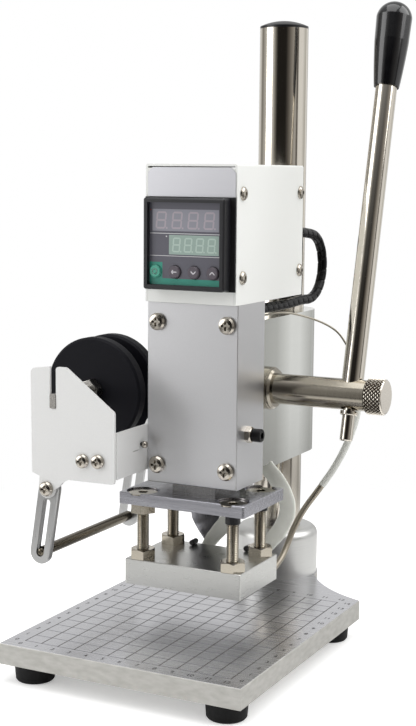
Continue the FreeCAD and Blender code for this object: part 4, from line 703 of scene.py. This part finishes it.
def flat_strip(name, route, widths, thick, crease):
    """Flat strip along a route, one width for each point of it. Along X made square to the route, its section
    goes with the square root of the angle's cosine, and across that with the sine to the power 0.7. Its
    middle line is lifted into a crease and its long edges ripple by a sine of the length, and both fade out
    near the ends."""
    path, run = walk(route, 260)
    along = unit(np.gradient(path, axis=0))
    wide = unit(np.array((1.0, 0, 0)) - along * along[:, :1])
    up = np.cross(along, wide)
    legs = np.linalg.norm(np.diff(np.array(route), axis=0), axis=1)
    share = np.concatenate([[0], np.cumsum(legs)]) / legs.sum()
    half = np.interp(run / run[-1], share, widths) / 2
    turn = full_turn(36)
    x = np.sign(np.cos(turn)) * np.abs(np.cos(turn)) ** 0.5
    y = np.sign(np.sin(turn)) * np.abs(np.sin(turn)) ** 0.7
    held = np.clip(np.minimum(run, run[-1] - run) / HELD_LONG, 0, 1)[:, None]
    ripple = RIPPLE_HIGH * np.sin(2 * math.pi * run / RIPPLE_PITCH)[:, None] * held * x[None, :]
    lift = crease * held * (1 - np.abs(x)[None, :] * 2)
    grid = (path[:, None] + (half[:, None] * x[None, :])[..., None] * wide[:, None]
            + (thick / 2 * y[None, :] + ripple + lift)[..., None] * up[:, None])
    millimetres_round = 0.6 * np.arange(len(turn) + 1)
    return skin(name, grid, uv=(run * 1000, millimetres_round), sharp=70)


right_route = [(0.0178, 0.0456, 0.0796), (0.0186, 0.0456, 0.076), (0.0234, 0.0452, 0.072),
               (0.0292, 0.0436, 0.0656), (0.033, 0.0424, 0.0586), (0.0336, 0.0414, 0.0516),
               (0.0312, 0.0394, 0.0448), (0.0276, 0.037, 0.0386), (0.0232, 0.0344, 0.033),
               (0.0194, 0.0316, 0.0286), (0.018, 0.0286, 0.0262), (0.018, 0.027, 0.0258)]
right_widths = [0.008, 0.0092, 0.0094, 0.0096, 0.0098, 0.0098, 0.0096, 0.0094, 0.009, 0.008, 0.007, 0.006]
left_route = [(0.0084, 0.034, 0.077), (0.008, 0.0341, 0.072), (0.0073, 0.0341, 0.065),
              (0.0056, 0.0339, 0.0575), (0.0028, 0.0334, 0.0505), (-0.0013, 0.0327, 0.0445),
              (-0.0062, 0.0319, 0.0386), (-0.0108, 0.0306, 0.0324), (-0.0125, 0.0288, 0.0267),
              (-0.0125, 0.027, 0.0258)]
left_widths = [0.009, 0.009, 0.0092, 0.0094, 0.0094, 0.0094, 0.009, 0.008, 0.007, 0.006]
shaded_fold_route = [(-0.0124, 0.0395, 0.077), (-0.0138, 0.0394, 0.07), (-0.016, 0.039, 0.061),
               (-0.017, 0.0386, 0.052), (-0.0166, 0.0376, 0.045), (-0.015, 0.0356, 0.039),
               (-0.0132, 0.0323, 0.0334)]
shaded_fold_widths = [0.016, 0.0175, 0.0205, 0.0215, 0.018, 0.011, 0.003]
right_sleeve = flat_strip("right_sleeve", right_route, right_widths, 0.0024, 0.0003)
left_sleeve = flat_strip("left_sleeve", left_route, left_widths, 0.0022, 0.0002)
# Painted shade: a dark sheet standing for the shaded side of a folded sleeve
shaded_fold = flat_strip("shaded_sleeve_fold", shaded_fold_route, shaded_fold_widths, 0.0014, 0.0)
# Woven glass: warm white and dull, with a fine weave
glass_weave = surface("woven_glass_sleeve", ("#E4E5DC", "#F0F1EA"), 0.0, (0.5, 0.65), (0.9, 0.5, 1), 0.05,
                      "UV")
# Painted shade with painted reflection: dark grey with light streaks along the sheet, for a sleeve's shaded
# fold
painted_shade_fold_finish = surface("painted_shade_of_sleeve_fold", ("#39393C", "#77777B"), 0.9, (0.25, 0.4), (9, 0.35, 1), 0.02, "UV")
for piece, node, finish, slot, start, end in (
        (right_sleeve, "sleeve_right", glass_weave, "sleeve_fabric",
         (0.0186, 0.0456, 0.0755), (0.018, 0.0286, 0.0285)),
        (left_sleeve, "sleeve_left", glass_weave, "sleeve_fabric",
         (0.008, 0.0341, 0.0745), (-0.0125, 0.0288, 0.0285)),
        (shaded_fold, "dark_strap", painted_shade_fold_finish, "dark_sleeve",
         (-0.0138, 0.0394, 0.0745), (-0.0132, 0.0323, 0.0335))):
    piece.data.materials.append(finish)
    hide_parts(node)
    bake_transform(piece)

# Shrunk ends of the two heaters' leads on the block: a profile of radius over length, turned round each
# lead, 34.55 mm above the plate
LEAD_END_Z = 0.03455
end_profile = np.array([(0.00002, 0), (0.0012, 0), (0.00155, 0.0003), (0.0016, 0.0015), (0.00155, 0.0056),
                        (0.0013, 0.0062), (0.00002, 0.0062)])
radius, along = end_profile[:, :1], end_profile[:, 1:]
turn = full_turn(24)
ends = [np.stack([x + radius * np.sin(turn), front + along + 0 * turn,
                  LEAD_END_Z + radius * np.cos(turn)], -1)
        for x, front in ((-0.015, 0.0166), (0.0178, 0.0196))]
lead_ends = skin("lead_ends", *ends, sharp=40)
# Silicone tube: black, half dull
silicone = surface("black_silicone_tube", ("#0C0C0D", "#19191A"), 0.0, (0.35, 0.5), (1, 1, 1), 0.02)
lead_ends.data.materials.append(silicone)
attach(lead_ends, "ram")

# CONTROL BOX
# Folded steel sheet, powder coated white, with a brushed and clear-coated plate above the controller; the
# cover is held by cross-recess screws, and the switch and inlet at the rear are black polyamide.

# Powder coat: warm white, softly shining, with a faint orange peel of half a millimetre
powder = surface("white_powder_coat", ("#E6E7E4", "#EEEFEC"), 0.0, (0.34, 0.44), (0.45, 0.45, 0.45), 0.008)
dress(powder, "box_cover", "box_chassis")
dress(screw_nickel, "box_screws")
# Brushed plate: silver with fine level streaks
brushed_plate = surface("brushed_silver_plate", ("#CDCDD2", "#DADADE"), 1.0, (0.4, 0.5), (14, 0.2, 0.18),
                        0.003)
dress(brushed_plate, "box_plate")
# Polyamide: black with the soft grain of its mould
polyamide = surface("black_polyamide", ("#101012", "#1A1A1C"), 0.0, (0.3, 0.42), (0.5, 0.5, 0.5), 0.01)
dress(polyamide, "switch_frame", "mains_inlet", "rocker")

# CONTROLLER
# Black ABS bezel on a rubber gasket, smoked acrylic window with two unlit displays, and four round moulded
# keys below it.

# Foam rubber: black without shine
gasket_rubber = surface("black_foam_rubber", ("#08080A", "#131315"), 0.0, (0.6, 0.75), (0.6, 0.6, 0.6), 0.03)
dress(gasket_rubber, "controller_gasket")
# ABS with a spark-eroded grain: dark grey-black, softly lit
bezel_plastic = surface("textured_black_abs", ("#17171B", "#232327"), 0.0, (0.32, 0.42), (0.35, 0.35, 0.35),
                        0.012)
dress(bezel_plastic, "controller_body")
# Smoked acrylic: dark grey and glossy
smoked = surface("smoked_acrylic", ("#58575F", "#62616A"), 0.0, (0.08, 0.13), (30, 30, 30))
dress(smoked, "controller_window")
# Keys: half-dull plastic, three grey and one green
key_plastic = surface("grey_key_plastic", ("#4D464E", "#5B545C"), 0.0, (0.35, 0.45), (0.4, 0.4, 0.4), 0.006)
dress(key_plastic, "key_shift", "key_down", "key_up")
green_key = surface("green_key_plastic", ("#3C8F7A", "#4DA18C"), 0.0, (0.35, 0.45), (0.4, 0.4, 0.4), 0.006)
dress(green_key, "key_set")


def bar(x0, x1, z0, z1):
    """Upright rectangle by its corners."""
    return [(x0, z0), (x1, z0), (x1, z1), (x0, z1)]


def segment(start, end, half):
    """Six-cornered stroke between two points, its ends cut to a point."""
    a, b = np.array(start), np.array(end)
    along = (b - a) / np.linalg.norm(b - a) * half
    side = np.array((-along[1], along[0]))
    return [tuple(p) for p in (a, a + along - side, b - along - side, b, b - along + side, a + along + side)]


def four_digits(first, step, z, wide, tall, half, lean):
    """All seven strokes and the point of each of four digits, leaning to the right."""
    outlines = []
    for x in (first + step * k for k in range(4)):
        corners = {(i, j): (x + wide * (i - 0.5) + lean * (j - 1), z + tall / 2 * (j - 1))
                   for i in (0, 1) for j in (0, 1, 2)}
        pairs = [((0, j), (1, j)) for j in (0, 1, 2)] + [((i, j), (i, j + 1)) for i in (0, 1) for j in (0, 1)]
        outlines += [segment(corners[a], corners[b], half) for a, b in pairs]
        at = x + wide / 2 + 2.2 * half - lean
        outlines.append(bar(at - half, at + half, z - tall / 2 - half, z - tall / 2 + half))
    return outlines


def printed(name, layers):
    """Prints facing the front: each layer is an ink, its place along Y and its outlines in X and Z, in
    millimetres."""
    points, faces, owner = [], [], []
    for number, (_, y, outlines) in enumerate(layers):
        for outline in outlines:
            faces.append(list(range(len(points), len(points) + len(outline))))
            owner.append(number)
            points += [(x / 1000, y / 1000, z / 1000) for x, z in outline]
    made = flat_piece(name, points, faces)
    made.data.polygons.foreach_set("material_index", np.array(owner, np.int32))
    for finish, _, _ in layers:
        made.data.materials.append(finish)
    return made


# Prints and unlit displays as they show in the window, each with its own ink: films are pale panels, and
# unlit digits are slightly lighter strokes just in front of them
FACE_Y, DIGITS_Y = -21.93, -21.95
prints = {
    "grey_display_film": ("#8B8B94", FACE_Y, [bar(-19.7, 19.7, 213.5, 225.0)]),
    "green_display_film": ("#93A59D", FACE_Y, [bar(-9.7, 19.8, 201.2, 211.5)]),
    "white_print": ("#C9C9CB", FACE_Y, [bar(-21.2, 20.5, 212.05, 212.4), bar(-21.2, 20.5, 200.25, 200.55),
                                        bar(-11.6, -10.9, 210.3, 211.0)]),
    "teal_print": ("#3B8E7D", FACE_Y, [bar(-21.3, 21.3, 185.1, 188.4), bar(-21.3, -13.6, 188.4, 197.0)]),
    "red_print": ("#A03A34", FACE_Y, [bar(-21.1, -20.5, 224.3, 224.9)]),
    "unlit_red_digits": ("#A29BA2", DIGITS_Y, four_digits(-14.4, 9.5, 219.2, 5.2, 8.2, 0.5, 0.4)),
    "unlit_green_digits": ("#ABBDB5", DIGITS_Y, four_digits(-5.2, 6.9, 206.3, 3.9, 7.0, 0.4, 0.3)),
}
display = printed("display_prints", [(surface(name, (code, code), 0.0, (0.12, 0.18), (5, 5, 5)), y, outlines)
                                     for name, (code, y, outlines) in prints.items()])
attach(display, "head")

# Marks on the keys in pale dull ink: a ring, an arrow to the left, and chevrons down and up
pale_ink = surface("pale_key_ink", ("#C2BFC4", "#D0CDD2"), 0.0, (0.4, 0.5), (1, 1, 1))
KEY_FACE, KEY_Z, STROKE, RING_R = -23.32, 192.0, 0.28, 1.35
ring = [(RING_R * math.cos(a), RING_R * math.sin(a)) for a in np.linspace(0, 2 * math.pi, 25)]
marks = {
    "set": (-17.59, list(zip(ring[:-1], ring[1:]))),
    "shift": (-5.90, [((-1.6, 0), (-0.5, 1.1)), ((-1.6, 0), (-0.5, -1.1)), ((-1.5, 0), (1.6, 0))]),
    "down": (5.50, [((-1.5, 0.8), (0, -0.8)), ((0, -0.8), (1.5, 0.8))]),
    "up": (16.61, [((-1.5, -0.8), (0, 0.8)), ((0, 0.8), (1.5, -0.8))]),
}
for name, (centre, strokes) in marks.items():
    outlines = [[(x + centre, z + KEY_Z) for x, z in segment(start, end, STROKE)] for start, end in strokes]
    mark = printed("mark_" + name, [(pale_ink, KEY_FACE, outlines)])
    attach(mark, "key_" + name)

# FOIL UNIT
# White sheet-steel plates on a web, a slotted steel axle between two rubber discs, nickel-plated links and
# a turned steel guide rod.

# Stove enamel: a little greyer and smoother than the box's powder coat
enamel = surface("white_stove_enamel", ("#DDDDDC", "#E4E4E3"), 0.0, (0.3, 0.4), (0.8, 0.8, 0.8), 0.004)
dress(enamel, "foil_plates", "foil_web")
dress(screw_nickel, "foil_screws")
# Rubber discs: black, with hardly any shine
disc_rubber = surface("black_rubber_disc", ("#0B0B11", "#15151C"), 0.0, (0.5, 0.62), (1.5, 1.5, 1.5), 0.02,
                      specular=0.15)
dress(disc_rubber, "disc_front", "disc_rear")
# Zinc-plated axle: pale warm grey, half bright
axle_steel = surface("zinc_plated_axle", ("#9B9894", "#B7B4AF"), 1.0, (0.2, 0.32), (2, 2, 2), 0.005)
dress(axle_steel, "foil_axle")
# Satin nickel: silver, softly blurred
link_nickel = surface("satin_nickel_links", ("#ABABAB", "#C2C2C1"), 1.0, (0.26, 0.36), (0.4, 0.4, 10), 0.003)
dress(link_nickel, "links")
# Turned rod: the darkest of the bright parts, with rings of the turning along it
rod_steel = surface("turned_steel_rod", ("#5E584D", "#777064"), 1.0, (0.14, 0.22), (8, 0.5, 8), 0.0015)
dress(rod_steel, "guide_rod")
# A small screw stands out of the web's inner face just before the head; the CAD has no node for it. Each
# part is a profile of place along X and radius
STUD_Y, STUD_Z, AXIS_R = -0.0205, 0.097, 0.00001
turn = full_turn(24)
stud_parts = {
    "web_stud": (black_oxide, [(-0.02735, 0.0009), (-0.0257, 0.0014)]),
    "web_stud_head": (screw_nickel, [(-0.02565, 0.0019), (-0.0242, 0.0019), (-0.0236, 0.0015),
                                     (-0.0233, 0.0008)]),
}
for name, (finish, steps) in stud_parts.items():
    steps = [(steps[0][0], AXIS_R), *steps, (steps[-1][0], AXIS_R)]
    along, radius = np.array(steps).T[:, :, None]
    grid = np.stack([along + 0 * turn, STUD_Y + radius * np.cos(turn), STUD_Z + radius * np.sin(turn)], -1)
    stud = skin(name, grid)
    stud.data.materials.append(finish)
    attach(stud, "head")

low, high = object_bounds()
